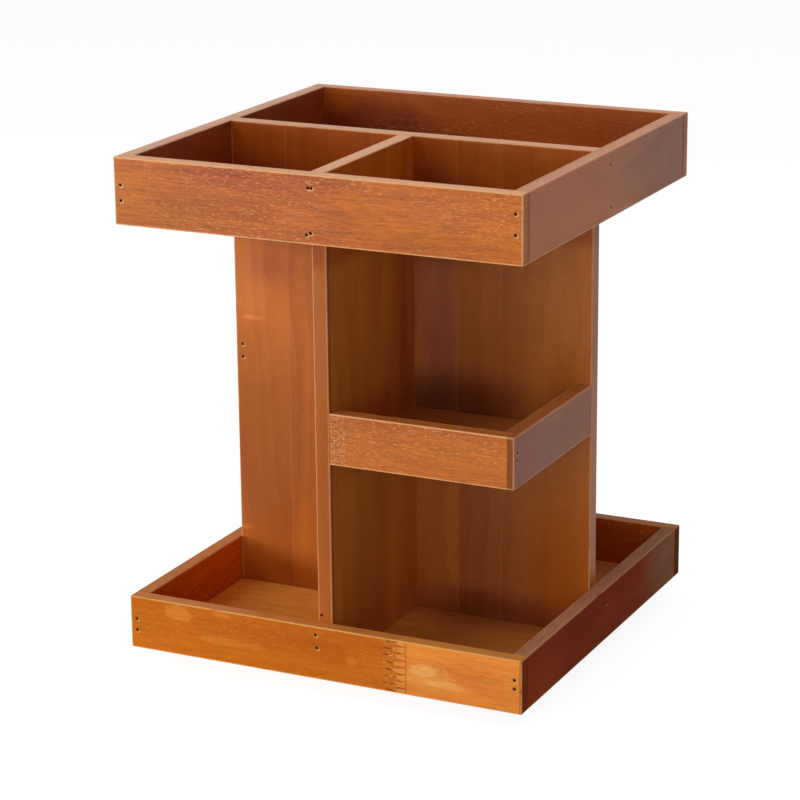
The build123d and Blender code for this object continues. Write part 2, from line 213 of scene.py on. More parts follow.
    def noise(
        self, place: Feed, stretch: float | tuple, detail: float = 2.0, rough: float = 0.5
    ) -> Socket:
        """Smooth noise whose grains have a size of their own along each axis.

        Args:
            place: Where on the surface, in metres.
            stretch: Grains in a metre, along each axis or along all three.
            detail: How many finer layers are added.
            rough: How strong the finer layers are.

        Returns:
            The noise, about 0.5 on average.
        """
        grains = (stretch,) * 3 if isinstance(stretch, float) else stretch
        scaled = self.vector("MULTIPLY", place, grains)
        feeds = {"Vector": scaled, "Scale": 1.0, "Detail": detail, "Roughness": rough}
        return self.add("TexNoise", feeds).outputs[0]


class Effect:
    """An effect that materials share: a shader node group made once and placed many times."""

    title = "effect"
    takes: dict[str, float | tuple] = {}
    gives: tuple[str, ...] = ()
    gives_kind = "Float"

    def tree(self) -> bpy.types.NodeTree:
        """Fetch the effect's node group, and make it on first use.

        Returns:
            The node group.
        """
        found = bpy.data.node_groups.get(self.title)
        if found:
            return found
        made = bpy.data.node_groups.new(self.title, "ShaderNodeTree")
        for name, start in self.takes.items():
            kind = "Float" if isinstance(start, float) else {3: "Vector", 4: "Color"}[len(start)]
            kind = "NodeSocket" + kind
            socket = made.interface.new_socket(name, in_out="INPUT", socket_type=kind)
            socket.default_value = start
        for name in self.gives:
            kind = "NodeSocket" + self.gives_kind
            made.interface.new_socket(name, in_out="OUTPUT", socket_type=kind)
        graph = Graph(made)
        given = made.nodes.new("NodeGroupInput").outputs
        graph.given = {name: given[name] for name in self.takes}
        leaving = made.nodes.new("NodeGroupOutput").inputs
        for name, value in self.wire(graph).items():
            graph.feed(leaving[name], value)
        return made

    def wire(self, graph: Graph) -> Sockets:
        """Wire the inside of the group; each effect has its own way."""
        raise NotImplementedError

    def place(self, graph: Graph, feeds: dict[str, Feed]) -> Sockets:
        """Put the effect into a material.

        Args:
            graph: The material's node tree.
            feeds: What goes into each named input.

        Returns:
            The effect's outputs by name.
        """
        node = graph.tree.nodes.new("ShaderNodeGroup")
        node.node_tree = self.tree()
        for name, value in feeds.items():
            graph.feed(node.inputs[name], value)
        return {name: node.outputs[name] for name in self.gives}


# ---- Shared effects ------------------------------------------------------------------------------


class WoodFigure(Effect):
    """Growth rings cut by the board's face, with fibres, pale flecks and dark pores."""

    title = "wood_figure"
    quick_sway = 0.18
    curl_sway = 0.024
    pith_drift = 0.025
    takes = {
        "Place": ORIGIN, "Ring Pitch": 0.004, "Pith Depth": 0.03, "Sway": 0.006, "Curl": 0.0,
    }
    gives = ("Growth", "Fibre", "Band", "Fleck", "Pore", "Ripple")

    def wire(self, graph: Graph) -> Sockets:
        """Wire rings about a wandering pith, and several sizes of stretched noise.

        Args:
            graph: The group's tree and inputs.

        Returns:
            The growth, fibre, band, fleck, pore and ripple values.
        """
        place, sway = graph["Place"], graph["Sway"]
        push = graph.plus(
            graph.times(self.wave(graph, place, (8.0, 26.0, 26.0)), sway),
            graph.times(self.wave(graph, place, (75.0, 240.0, 240.0)), sway, self.quick_sway),
            graph.times(
                self.wave(graph, place, (60.0, 110.0, 110.0)), graph["Curl"], self.curl_sway
            ),
        )
        swayed = graph.shift(place, graph.combine(0.0, push, graph.times(push, 0.5)))
        elsewhere = graph.shift(place, (1.3, 4.1, 0.7))
        fade = graph.spots(0.3, 0.62, elsewhere, (5.0, 24.0, 24.0), 1.0)
        coarse = graph.noise(swayed, (28.0, 760.0, 760.0), 4.0, 0.62)
        fine = graph.noise(swayed, (110.0, 1500.0, 1500.0), 2.0, 0.6)
        patch = graph.spots(0.36, 0.6, place, (13.0, 42.0, 42.0))
        fleck = graph.spots(0.57, 0.7, swayed, (310.0, 1700.0, 1700.0), 1.0)
        far_side = graph.shift(swayed, (3.1, 1.7, 2.3))
        band = graph.noise(swayed, (4.0, 34.0, 34.0), 2.0, 0.45)
        pore = graph.noise(far_side, (320.0, 1600.0, 1600.0), 1.0)
        return {
            "Growth": graph.times(self.rings(graph, swayed), graph.plus(fade, 0.35)),
            "Fibre": graph.plus(graph.times(coarse, 0.55), graph.times(fine, 0.45)),
            "Band": graph.spread(band, 0.36, 0.64),
            "Fleck": graph.times(fleck, patch),
            "Pore": graph.spread(pore, 0.6, 0.73),
            "Ripple": graph.noise(place, (18.0, 45.0, 45.0)),
        }

    def wave(self, graph: Graph, place: Socket, stretch: tuple) -> Socket:
        """Noise between -1 and 1 that bends the grain."""
        return graph.times(graph.minus(graph.noise(place, stretch), 0.5), 2.0)

    def rings(self, graph: Graph, place: Socket) -> Socket:
        """Cut rings about a pith that runs along the board and drifts under its face.

        Args:
            graph: The group's tree and inputs.
            place: The place on the board after the grain is bent.

        Returns:
            A value that climbs slowly through each year's wood and drops at its end.
        """
        side, through = graph.split(place)[1:]
        drift = graph.times(self.wave(graph, place, (3.0, 4.0, 4.0)), self.pith_drift)
        depth = graph.plus(through, graph["Pith Depth"], drift)
        radius = graph.vector("LENGTH", graph.combine(0.0, side, depth))
        turn = graph.math("FRACT", graph.ratio(radius, graph["Ring Pitch"]))
        return graph.times(graph.spread(turn, 0.05, 0.8), graph.fall(turn, 0.84, 1.0))


class StainTone(Effect):
    """Stain that took unevenly: lighter and deeper wood, with redder clouds."""

    title = "stain_tone"
    takes = {
        "Place": ORIGIN, "Growth": 0.0, "Band": 0.0, "Fibre": 0.5, "Light": (0.6, 0.16, 0.01, 1.0),
        "Deep": (0.35, 0.08, 0.006, 1.0), "Red": (0.4, 0.08, 0.015, 1.0), "Figure": 0.5,
        "Broad": 0.3, "Cloud": 0.5, "Grain": 0.5,
    }
    gives = ("Color",)
    gives_kind = "Color"

    def wire(self, graph: Graph) -> Sockets:
        """Wire the figure, the clouds and the fibres into one colour.

        Args:
            graph: The group's tree and inputs.

        Returns:
            The stained colour.
        """
        place = graph["Place"]
        clouds = graph.spots(0.42, 0.66, place, (5.0, 16.0, 16.0), 3.0, 0.55)
        elsewhere = graph.shift(place, (5.0, 2.0, 9.0))
        pale = graph.spots(0.5, 0.75, elsewhere, (8.0, 30.0, 30.0))
        figure = graph.times(graph["Growth"], graph["Figure"])
        broad = graph.times(graph["Band"], graph["Broad"])
        share = graph.plus(figure, broad, clamp=True)
        colour = graph.mix(share, graph["Light"], graph["Deep"])
        colour = graph.mix(graph.times(clouds, graph["Cloud"], clamp=True), colour, graph["Red"])
        pale_share = graph.times(pale, graph.times(graph["Cloud"], 0.5), clamp=True)
        colour = graph.mix(pale_share, colour, graph["Light"])
        offset = graph.times(graph.minus(graph["Fibre"], 0.5), graph["Grain"], 2.0)
        bright = graph.plus(offset, 1.0)
        tone = graph.combine(bright, bright, bright)
        return {"Color": graph.mix(1.0, colour, tone, "MULTIPLY")}


class StainPatch(Effect):
    """A soft-edged place in the wood where the stain took differently."""

    title = "stain_patch"
    takes = {
        "Point": ORIGIN, "Middle": ORIGIN, "Reach": (1.0, 1.0, 1.0), "Core": 0.4, "Ragged": 0.2,
    }
    gives = ("Mask",)

    def wire(self, graph: Graph) -> Sockets:
        """Wire how far a point lies out in the patch, roughened by noise.

        Args:
            graph: The group's tree and inputs.

        Returns:
            The patch's mask.
        """
        point = graph["Point"]
        off = graph.vector("SUBTRACT", point, graph["Middle"])
        apart = graph.vector("DIVIDE", off, graph["Reach"])
        uneven = graph.minus(graph.noise(point, 48.0, 3.0, 0.55), 0.5)
        ragged = graph.times(uneven, 2.0, graph["Ragged"])
        away = graph.plus(graph.vector("LENGTH", apart), ragged)
        return {"Mask": graph.fall(away, graph["Core"], 1.0)}


class ArrisWearAndLight(Effect):
    """Worn edges that also carry a painted highlight, found from how near a point lies to two faces
    of a board's box at once.
    """

    title = "arris_wear"
    streak_across = (800.0, 800.0, 800.0)
    streak_drawn_out = (730.0, 730.0, 730.0)
    takes = {
        "Point": ORIGIN, "Low": ORIGIN, "High": (1.0, 1.0, 1.0), "Worn Low": ORIGIN,
        "Worn High": (1.0, 1.0, 1.0), "Grain Axis": (1.0, 0.0, 0.0), "Reach": 0.0008,
    }
    gives = ("Wear And Highlight", "Crown And Sheen", "End", "Sunk")

    def wire(self, graph: Graph) -> Sockets:
        """Wire the middle one of the three distances to the worn faces into a broken line.

        Args:
            graph: The group's tree and inputs.

        Returns:
            The worn line along the edges, which also stands for their painted highlight, the mask
            of the face on top, which also stands for its painted sheen, the mask of the end grain,
            and the mask of whatever lies below the faces, where shade is painted.
        """
        point = graph["Point"]
        gaps = self.nearness(graph, point, graph["Worn Low"], graph["Worn High"])
        gaps = graph.split(gaps)
        largest, smallest = graph.most(*gaps), graph.least(*gaps)
        middle = graph.minus(graph.plus(*gaps), largest, smallest)
        uneven = graph.noise(point, 170.0, 3.0, 0.6)
        reach = graph.times(graph["Reach"], graph.plus(uneven, 0.5))
        line = graph.fall(middle, graph.times(reach, 0.35), reach)
        kept = graph.spots(0.22, 0.42, point, 60.0)
        near = self.nearness(graph, point, graph["Low"], graph["High"])
        from_end = graph.vector("DOT_PRODUCT", near, graph["Grain Axis"])
        from_top = graph.split(graph.vector("SUBTRACT", graph["High"], point))[2]
        shorter = graph.vector("MULTIPLY", graph["Grain Axis"], self.streak_drawn_out)
        stretch = graph.vector("SUBTRACT", self.streak_across, shorter)
        streaks = graph.noise(graph.vector("MULTIPLY", point, stretch), 1.0, 3.0, 0.6)
        top = graph.fall(from_top, 0.0001, 0.0006)
        return {
            "Wear And Highlight": graph.times(line, kept),
            "Crown And Sheen": graph.times(top, graph.spread(streaks, 0.3, 0.6, 0.55, 1.0)),
            "End": graph.fall(from_end, 0.0001, 0.0004),
            "Sunk": graph.spread(graph.least(*graph.split(near)), 0.00005, 0.0003),
        }

    def nearness(self, graph: Graph, point: Feed, low: Feed, high: Feed) -> Socket:
        """Measure how far a point lies inside a box from the nearer face along each axis.

        Args:
            graph: The group's tree and inputs.
            point: The point.
            low: The box's lowest corner.
            high: Its highest corner.

        Returns:
            The three distances, 0 outside the box.
        """
        from_low = graph.vector("SUBTRACT", point, low)
        from_high = graph.vector("SUBTRACT", high, point)
        return graph.vector("MAXIMUM", graph.vector("MINIMUM", from_low, from_high), ORIGIN)


class FingerJoint(Effect):
    """Two lengths of wood joined end to end by glued fingers."""

    title = "finger_joint"
    takes = {
        "Along": 0.0, "Across": 0.0, "Start": 0.0, "Finger Length": 0.012, "Finger Pitch": 0.004,
    }
    gives = ("Beyond", "Glue", "Torn")

    def wire(self, graph: Graph) -> Sockets:
        """Wire a zigzag across the board into two sides, glue lines and torn grain.

        Args:
            graph: The group's tree and inputs.

        Returns:
            1 on the second length of wood, and the masks of the glue and of the torn grain.
        """
        along, across = graph["Along"], graph["Across"]
        travel = graph.ratio(graph.minus(along, graph["Start"]), graph["Finger Length"])
        steps = graph.ratio(across, graph["Finger Pitch"])
        zigzag = graph.times(graph.math("PINGPONG", steps, 0.5), 2.0)
        apart = graph.minus(travel, zigzag)
        half_pitch = graph.times(graph["Finger Pitch"], 0.5)
        gap = graph.times(graph.math("ABSOLUTE", apart), half_pitch)
        before_end = graph.fall(travel, 1.0, 1.08)
        inside = graph.times(graph.spread(travel, -0.08, 0.02), before_end)
        flank = graph.times(graph.fall(gap, 0.0001, 0.0004), 0.35)
        first_half = graph.fall(travel, 0.5, 0.75)
        first_tip = graph.times(graph.fall(zigzag, 0.1, 0.34), first_half)
        last_half = graph.spread(travel, 0.55, 0.75)
        last_tip = graph.times(graph.spread(zigzag, 0.7, 0.92), last_half)
        pockets = graph.most(first_tip, graph.times(last_tip, 0.7))
        flat = graph.combine(along, across, 0.0)
        broken = graph.spots(0.36, 0.56, flat, (260.0, 800.0, 1.0))
        lines = graph.times(graph.most(flank, pockets), broken, inside)
        from_shoulder = graph.gap(travel, 1.04)
        shoulder = graph.fall(from_shoulder, 0.015, 0.05)
        torn = graph.spots(0.54, 0.66, flat, (900.0, 1500.0, 1.0), 1.0)
        return {
            "Beyond": graph.spread(apart, -0.02, 0.02),
            "Glue": graph.most(lines, graph.times(shoulder, 0.4)),
            "Torn": graph.times(torn, inside),
        }


class PinHole(Effect):
    """Marks about a sunk brad: a pale lip on one side, and painted shade that fills the hole and
    fades just past its edge.
    """

    title = "pin_hole"
    takes = {
        "Point": ORIGIN, "Mouth": ORIGIN, "Radius": 0.00087, "Lean": (0.00040, 0.0, -0.00040),
    }
    gives = ("Lip", "Hole Shade")

    def wire(self, graph: Graph) -> Sockets:
        """Wire the distance to the hole into a pale crescent and a painted shade.

        Args:
            graph: The group's tree and inputs.

        Returns:
            The lip's mask and the mask of the painted shade in the hole.
        """
        point, mouth, radius = graph["Point"], graph["Mouth"], graph["Radius"]
        ragged = graph.times(graph.noise(point, 1300.0), 0.0006)
        away = graph.vector("DISTANCE", point, mouth)
        leaned = graph.vector("DISTANCE", point, graph.shift(mouth, graph["Lean"]))
        outer = graph.plus(radius, graph.plus(ragged, 0.0002))
        within = graph.fall(leaned, graph.minus(outer, 0.0002), outer)
        outside = graph.spread(away, graph.minus(radius, 0.0001), radius)
        reach = graph.times(radius, 1.35)
        return {
            "Lip": graph.times(within, outside),
            "Hole Shade": graph.fall(graph.minus(away, ragged), radius, reach),
        }


class Handling(Effect):
    """Traces of use: fine scratches both ways, smudges and a little dust."""

    title = "handling"
    takes = {"Point": ORIGIN, "Amount": 0.5}
    gives = ("Scratch", "Smudge", "Dust")

    def wire(self, graph: Graph) -> Sockets:
        """Wire thin stretched noise in two directions, and a slow and a fine noise.

        Args:
            graph: The group's tree and inputs.

        Returns:
            The scratch, smudge and dust masks.
        """
        point, amount = graph["Point"], graph["Amount"]
        marks = []
        for turn in ((0.5, 0.3, 0.9), (-0.7, 0.5, 0.4)):
            feeds = {"Vector": point, "Rotation": turn}
            turned = graph.add("VectorRotate", feeds, rotation_type="EULER_XYZ").outputs[0]
            thin = graph.noise(turned, (30.0, 1100.0, 420.0), 1.0)
            marks.append(graph.spread(thin, 0.745, 0.79))
        rare = graph.spots(0.5, 0.65, point, 21.0, 1.0)
        specks = graph.spots(0.72, 0.8, point, 900.0, 1.0)
        return {
            "Scratch": graph.times(graph.most(*marks), rare, amount),
            "Smudge": graph.times(graph.noise(point, 34.0, 4.0, 0.62), amount),
            "Dust": graph.times(specks, amount),
        }


WOOD_FIGURE = WoodFigure()
STAIN_TONE = StainTone()
STAIN_PATCH = StainPatch()
ARRIS_WEAR_AND_LIGHT = ArrisWearAndLight()
FINGER_JOINT = FingerJoint()
PIN_HOLE = PinHole()
HANDLING = Handling()


# ---- Finishes ------------------------------------------------------------------------------------


class Lay(Enum):
    """How a board lies: the axes along its grain, across its face and through its thickness."""

    FRONT_WALL = (0, 2, 1)
    SIDE_WALL = (1, 2, 0)
    CROSS = (2, 0, 1)
    DIVIDER = (2, 1, 0)
    FLOOR = (0, 1, 2)


def inputs_of(thing: object, *names: str) -> dict[str, Feed]:
    """Take fields as feeds of the inputs that bear their names: ring_pitch feeds Ring Pitch."""
    return {name.replace("_", " ").title(): getattr(thing, name) for name in names}


class Coat:
    """A material while it is built: its tree, its shader and its colour so far."""

    def __init__(self, name: str) -> None:
        """Start a material that holds one Principled shader.

        Args:
            name: The material's name.
        """
        self.material = bpy.data.materials.new(name)
        self.material.use_nodes = True
        self.graph = Graph(self.material.node_tree)
        self.shader = self.graph.add("BsdfPrincipled")
        self.graph.add("OutputMaterial", {"Surface": self.shader.outputs[0]})
        self.colour: Feed = ORIGIN

    @cached_property
    def point(self) -> Socket:
        """The point that is shaded, along the frame's own axes."""
        return self.graph.add("TexCoord").outputs["Object"]

    def over(self, mask: Feed, share: float, target: Feed) -> None:
        """Lay a colour over the one so far, where a mask shows, at a share of its strength."""
        self.colour = self.graph.mix(self.graph.times(mask, share), self.colour, target)

    def handled(self, amount: float) -> Sockets:
        """Add the traces of use."""
        return HANDLING.place(self.graph, {"Point": self.point, "Amount": amount})

    def feed(self, feeds: dict[str, Feed]) -> None:
        """Feed the shader.

        Args:
            feeds: What goes into each of its inputs.
        """
        for name, value in feeds.items():
            self.graph.feed(self.shader.inputs[name], value)

    def finish(
        self, rough: Feed, height: Socket, depth: float, strength: float, fixed: dict[str, float]
    ) -> bpy.types.Material:
        """Feed the shader with the colour, the roughness and the relief.

        Args:
            rough: The roughness.
            height: The height that raises the surface's shading.
            depth: What a height of 1 stands for, in metres.
            strength: How strongly the relief shows.
            fixed: Inputs of the shader that are the same all over.

        Returns:
            The finished material.
        """
        relief = {"Height": height, "Distance": depth, "Strength": strength}
        normal = self.graph.add("Bump", relief).outputs[0]
        self.feed({"Base Color": self.colour, "Roughness": rough, "Normal": normal, **fixed})
        return self.material


@dataclass(frozen=True)
class Stain:
    """What one stain looks like on light, dense and red wood, on edges (worn, with a painted
    highlight), on top faces (with a painted sheen), in pores.
    """

    light: Rgb
    deep: Rgb
    red: Rgb
    # the pale colour of worn wood, also painted along the arrises as their highlight
    rubbed_and_highlight: Rgb
    # the paler top face: worn wood with a painted sheen
    crown: Rgb
    pore: Rgb

    def times(self, red: float, green: float, blue: float) -> "Stain":
        """Make the same stain lighter, deeper or of another cast, with the same colours on its
        edges and top faces.

        Args:
            red: What every red is multiplied by.
            green: What every green is multiplied by.
            blue: What every blue is multiplied by.

        Returns:
            The changed stain.
        """
        changed = {}
        for name in ("light", "deep", "red", "pore"):
            pairs = zip(getattr(self, name), (red, green, blue))
            changed[name] = tuple(share * factor for share, factor in pairs)
        return replace(self, **changed)

    def soak(self, coat: Coat, place: Socket, cut: dict, tone: dict) -> Sockets:
        """Colour a coat as figured wood that took this stain.

        Args:
            coat: The coat that gets its first colour.
            place: The seeded place on the board.
            cut: What sets the wood's figure.
            tone: What sets how unevenly the stain took.

        Returns:
            The wood's figure.
        """
        figure = WOOD_FIGURE.place(coat.graph, cut)
        wood = {name: figure[name] for name in ("Growth", "Band", "Fibre")}
        stain = inputs_of(self, "light", "deep", "red")
        feeds = {"Place": place, **wood, **stain, **tone}
        coat.colour = STAIN_TONE.place(coat.graph, feeds)["Color"]
        return figure


HONEY_STAIN = Stain(
    (0.63, 0.172, 0.012), (0.41, 0.092, 0.007), (0.42, 0.082, 0.018),
    (0.86, 0.42, 0.17), (0.86, 0.39, 0.16), (0.17, 0.034, 0.006),
)
BASE_STAIN = Stain(
    (0.74, 0.2, 0.009), (0.52, 0.114, 0.005), (0.54, 0.106, 0.007),
    (0.86, 0.42, 0.12), (0.82, 0.32, 0.08), (0.22, 0.044, 0.005),
)
# a darker, redder stain for the base's right wall; its darkness is painted shade on that side
RED_SHADED_STAIN = Stain(
    (0.39, 0.052, 0.003), (0.25, 0.028, 0.002), (0.26, 0.026, 0.0025),
    (0.68, 0.36, 0.17), (0.62, 0.29, 0.15), (0.11, 0.018, 0.004),
)
UPRIGHT_STAIN = Stain(
    (0.54, 0.15, 0.018), (0.37, 0.086, 0.01), (0.36, 0.074, 0.015),
    (0.82, 0.4, 0.16), (0.86, 0.39, 0.17), (0.16, 0.034, 0.008),
)
PLY_STAIN = Stain(
    (0.6, 0.215, 0.042), (0.48, 0.152, 0.028), (0.44, 0.12, 0.028),
    (0.8, 0.4, 0.14), (0.6, 0.215, 0.042), (0.2, 0.05, 0.011),
)


@dataclass(frozen=True)
class Patch:
    """A place where the stain took differently, in millimetres, and its tint."""

    middle: tuple[float, float, float]
    reach: tuple[float, float, float]
    tint: Rgb
    core: float = 0.4
    ragged: float = 0.15

    def mask(self, coat: Coat) -> Socket:
        """Place the patch in a material.

        Args:
            coat: The coat that it marks.

        Returns:
            The patch's mask.
        """
        feeds = {
            "Point": coat.point,
            "Middle": [value * MM for value in self.middle],
            "Reach": [value * MM for value in self.reach],
            **inputs_of(self, "core", "ragged"),
        }
        return STAIN_PATCH.place(coat.graph, feeds)["Mask"]


@dataclass(frozen=True)
class Splice:
    """Where a finger joint begins along a board, and how the wood beyond it differs."""

    start: float
    finger_length: float
    finger_pitch: float
    beyond: Rgb
    glue: float
    torn: float


SEED_STEPS = (1.37, 0.731, 0.419)
STRIP_STEP = (2.7, 0.013)
BEYOND_STEP = 2.0
# painted shade: the near-black colour laid in holes and recesses below a board's faces
SUNK_SHADE = (0.022, 0.006, 0.002)
DUST = (0.62, 0.48, 0.38)
SHARES = {"Sunk": 0.93, "Hole Shade": 0.8, "Lip": 0.75, "Seam": 0.1, "Scratch": 0.5, "Dust": 0.2}
ROUGHER = {"Smudge": 0.22, "Pore": 0.12, "End": 0.6, "Scratch": 0.2}
RAISED = {"Fibre": 0.5, "Ripple": 1.2, "Growth": 0.12}
LOWERED = {"Pore": 0.35, "Scratch": 0.5}
LIP_HEIGHT = 0.8
BOARD_USE = 0.5
# width of the pale line along each arris: worn wood with a painted highlight
RUBBED_AND_HIGHLIGHT_WIDTH = 1.1 * MM
LACQUER_RELIEF = 0.16 * MM


@dataclass(frozen=True)
class StainedBoard:
    """Stained softwood under satin lacquer, cut for one board with a grain of its own."""

    node: str
    lay: Lay
    seed: float
    stain: Stain = HONEY_STAIN
    ring_pitch: float = 0.0045
    pith_depth: float = 0.035
    sway: float = 0.006
    figure: float = 0.4
    broad: float = 0.3
    cloud: float = 0.5
    grain: float = 0.55
    fleck: float = 0.5
    pore: float = 0.45
    # share of the line along the arrises: worn wood with a painted highlight
    wear: float = 0.6
    # share of the paler top face: worn wood with a painted sheen
    crown: float = 0.6
    end: float = 0.12
    roughness: float = 0.38
    gloss: float = 0.3
    relief: float = 0.5
    seams: tuple[float, ...] = ()
    splice: Splice | None = None
    patches: tuple[Patch, ...] = ()
    curls: tuple[Patch, ...] = ()
    mouths: tuple[Vector, ...] = ()
    butted: str = ""

    def material(self) -> bpy.types.Material:
        """Build the board's material.

        Returns:
            The finished material.
        """
        coat = Coat("stained_" + self.node)
        graph, stain = coat.graph, self.stain
        axes = graph.split(coat.point)
        along, across, through = (axes[axis] for axis in self.lay.value)
        offset = tuple(self.seed * step for step in SEED_STEPS)
        place = graph.shift(graph.combine(along, across, through), offset)
        changes: list[tuple[Socket, float, Rgb]] = []
        tinted: list[tuple[Socket, Rgb]] = []
        if self.seams:
            place = self.glue_strips(graph, across, place, changes)
        if self.splice:
            joint = FINGER_JOINT.place(graph, {
                "Along": along,
                "Across": across,
                **inputs_of(self.splice, "start", "finger_length", "finger_pitch"),
            })
            tinted.append((joint["Beyond"], self.splice.beyond))
            changes.append((joint["Torn"], self.splice.torn, stain.rubbed_and_highlight))
            changes.append((joint["Glue"], self.splice.glue, stain.pore))
            step = graph.combine(graph.times(joint["Beyond"], BEYOND_STEP), 0.0, 0.0)
            place = graph.shift(place, step)
        curl: Feed = 0.0
        for patch in self.curls:
            curl = graph.most(curl, patch.mask(coat))
        cut = {"Place": self.ring_place(graph, place), "Curl": curl}
        cut |= inputs_of(self, "ring_pitch", "pith_depth", "sway")
        figure = stain.soak(coat, place, cut, inputs_of(self, "figure", "broad", "cloud", "grain"))
        tinted += [(patch.mask(coat), patch.tint) for patch in self.patches + self.curls]
        for mask, tint in tinted:
            coat.colour = graph.mix(mask, coat.colour, tint, "MULTIPLY")
        for change in changes:
            coat.over(*change)
        coat.over(figure["Fleck"], self.fleck, stain.rubbed_and_highlight)
        coat.over(figure["Pore"], self.pore, stain.pore)
        lips = self.mark_holes(coat)
        shifted = graph.shift(coat.point, offset)
        use = HANDLING.place(graph, {"Point": shifted, "Amount": BOARD_USE})
        masks = {**figure, **use, "End": self.wear_edges(coat)}
        coat.over(use["Scratch"], SHARES["Scratch"], stain.rubbed_and_highlight)
        coat.over(use["Dust"], SHARES["Dust"], DUST)
        rougher = {**ROUGHER, "End": self.end * ROUGHER["End"]}
        rough = graph.plus(self.roughness, *graph.weigh(masks, rougher), clamp=True)
        height = graph.plus(*graph.weigh(masks, RAISED))
        height = graph.minus(height, *graph.weigh(masks, LOWERED))
        for lip in lips:
            height = graph.plus(height, graph.times(lip, LIP_HEIGHT))
        fixed = {"Specular IOR Level": self.gloss}
        return coat.finish(rough, height, LACQUER_RELIEF, self.relief, fixed)

    def ring_place(self, graph: Graph, place: Socket) -> Socket:
        """Keep the rings near the pith whatever the board's seed is.

        Args:
            graph: The material's node tree.
            place: The seeded place on the board.

        Returns:
            The place, shifted back across and through the board.
        """
        low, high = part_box(self.node)
        middle = (low + high) / 2
        across, through = (middle[axis] for axis in self.lay.value[1:])
        back = (0.0, -across - self.seed * SEED_STEPS[1], -through - self.seed * SEED_STEPS[2])
        return graph.shift(place, back)

    def glue_strips(self, graph: Graph, across: Socket, place: Socket, changes: list) -> Socket:
        """Give each strip of a glued-up board its own grain, with a thin seam between strips.

        Args:
            graph: The material's node tree.
            across: The distance across the board's face.
            place: The seeded place on the board.
            changes: Where the changes of colour are added.

        Returns:
            The place, moved from strip to strip.
        """
        number: Feed = 0.0
        seam: Feed = 0.0
        for edge in self.seams:
            number = graph.plus(number, graph.math("GREATER_THAN", across, edge))
            line = graph.fall(graph.gap(across, edge), 0.1 * MM, 0.6 * MM)
            seam = graph.most(seam, line)
        changes.append((seam, SHARES["Seam"], self.stain.rubbed_and_highlight))
        moved = graph.combine(*(graph.times(number, step) for step in STRIP_STEP), 0.0)
        return graph.shift(place, moved)

    def mark_holes(self, coat: Coat) -> list[Socket]:
        """Mark the wood about each sunk brad, and paint shade into its hole.

        Args:
            coat: The coat that is marked.

        Returns:
            The pale lips, which stand up.
        """
        lips = []
        for mouth in self.mouths:
            hole = PIN_HOLE.place(coat.graph, {"Point": coat.point, "Mouth": mouth})
            # painted shade: a dark fill in each brad hole, fading just past its edge
            coat.over(hole["Hole Shade"], SHARES["Hole Shade"], self.stain.pore)
            coat.over(hole["Lip"], SHARES["Lip"], self.stain.rubbed_and_highlight)
            lips.append(hole["Lip"])
        return lips

    def wear_edges(self, coat: Coat) -> Socket:
        """Darken the end grain, paint shade into the holes and recesses, and lighten the top face
        and the arrises as worn wood with a painted sheen and highlight.

        Args:
            coat: The coat that is worn.

        Returns:
            The end grain's mask.
        """
        low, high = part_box(self.node)
        worn_low, worn_high = self.worn_box()
        edges = ARRIS_WEAR_AND_LIGHT.place(coat.graph, {
            "Point": coat.point,
            "Low": low,
            "High": high,
            "Worn Low": worn_low,
            "Worn High": worn_high,
            "Grain Axis": [float(axis == self.lay.value[0]) for axis in range(3)],
            "Reach": RUBBED_AND_HIGHLIGHT_WIDTH,
        })
        coat.over(edges["End"], self.end, self.stain.pore)
        # painted sheen: the paler, pinker top face stands for worn wood and the lacquer's sheen on
        # faces that look up
        coat.over(edges["Crown And Sheen"], self.crown, self.stain.crown)
        # painted highlight: the pale line along each arris stands for worn wood and the rounded
        # edge's highlight at once
        coat.over(edges["Wear And Highlight"], self.wear, self.stain.rubbed_and_highlight)
        # painted shade: near black over whatever lies below the faces, in holes and recesses
        coat.over(edges["Sunk"], SHARES["Sunk"], SUNK_SHADE)
        return edges["End"]

    def worn_box(self) -> tuple[Vector, Vector]:
        """Let the board's box out where it butts against others, so that no edge there is worn or
        given its painted highlight.

        Returns:
            The lowest and the highest corner.
        """
        low, high = (Vector(corner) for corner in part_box(self.node))
        for side in self.butted.split():
            corner, way = (high, 1) if side[1] == "+" else (low, -1)
            corner["xyz".index(side[0])] += way * BUTT_ALLOWANCE
        return low, high


@dataclass(frozen=True)
class FootPly:
    """Stained plywood turned to a disc, with the plies showing at its edge."""

    radius: float
    ply: float = 1.2 * MM
    stain: Stain = PLY_STAIN

    def material(self) -> bpy.types.Material:
        """Build the disc's material.

        Returns:
            The finished material.
        """
        coat = Coat("stained_foot_ply")
        graph = coat.graph
        x, y, z = graph.split(coat.point)
        cut = {"Place": coat.point, "Ring Pitch": 0.009, "Pith Depth": 0.02, "Sway": 0.02}
        tone = {"Figure": 0.5, "Cloud": 0.5, "Grain": 0.5}
        figure = self.stain.soak(coat, coat.point, cut, tone)
        layer = graph.math("FRACT", graph.ratio(z, self.ply * 2))
        from_middle = graph.gap(layer, 0.5)
        end_grain = graph.spread(from_middle, 0.22, 0.28)
        out = graph.vector("LENGTH", graph.combine(x, y, 0.0))
        rim = graph.spread(out, self.radius - 0.9 * MM, self.radius - 0.4 * MM)
        coat.over(graph.times(end_grain, rim), 0.6, self.stain.pore)
        use = coat.handled(0.7)
        coat.over(use["Scratch"], 0.5, self.stain.rubbed_and_highlight)
        rough = graph.plus(0.42, graph.times(use["Smudge"], 0.3))
        height = graph.plus(figure["Fibre"], end_grain)
        return coat.finish(rough, height, 0.00015, 0.5, {"Specular IOR Level": 0.3})


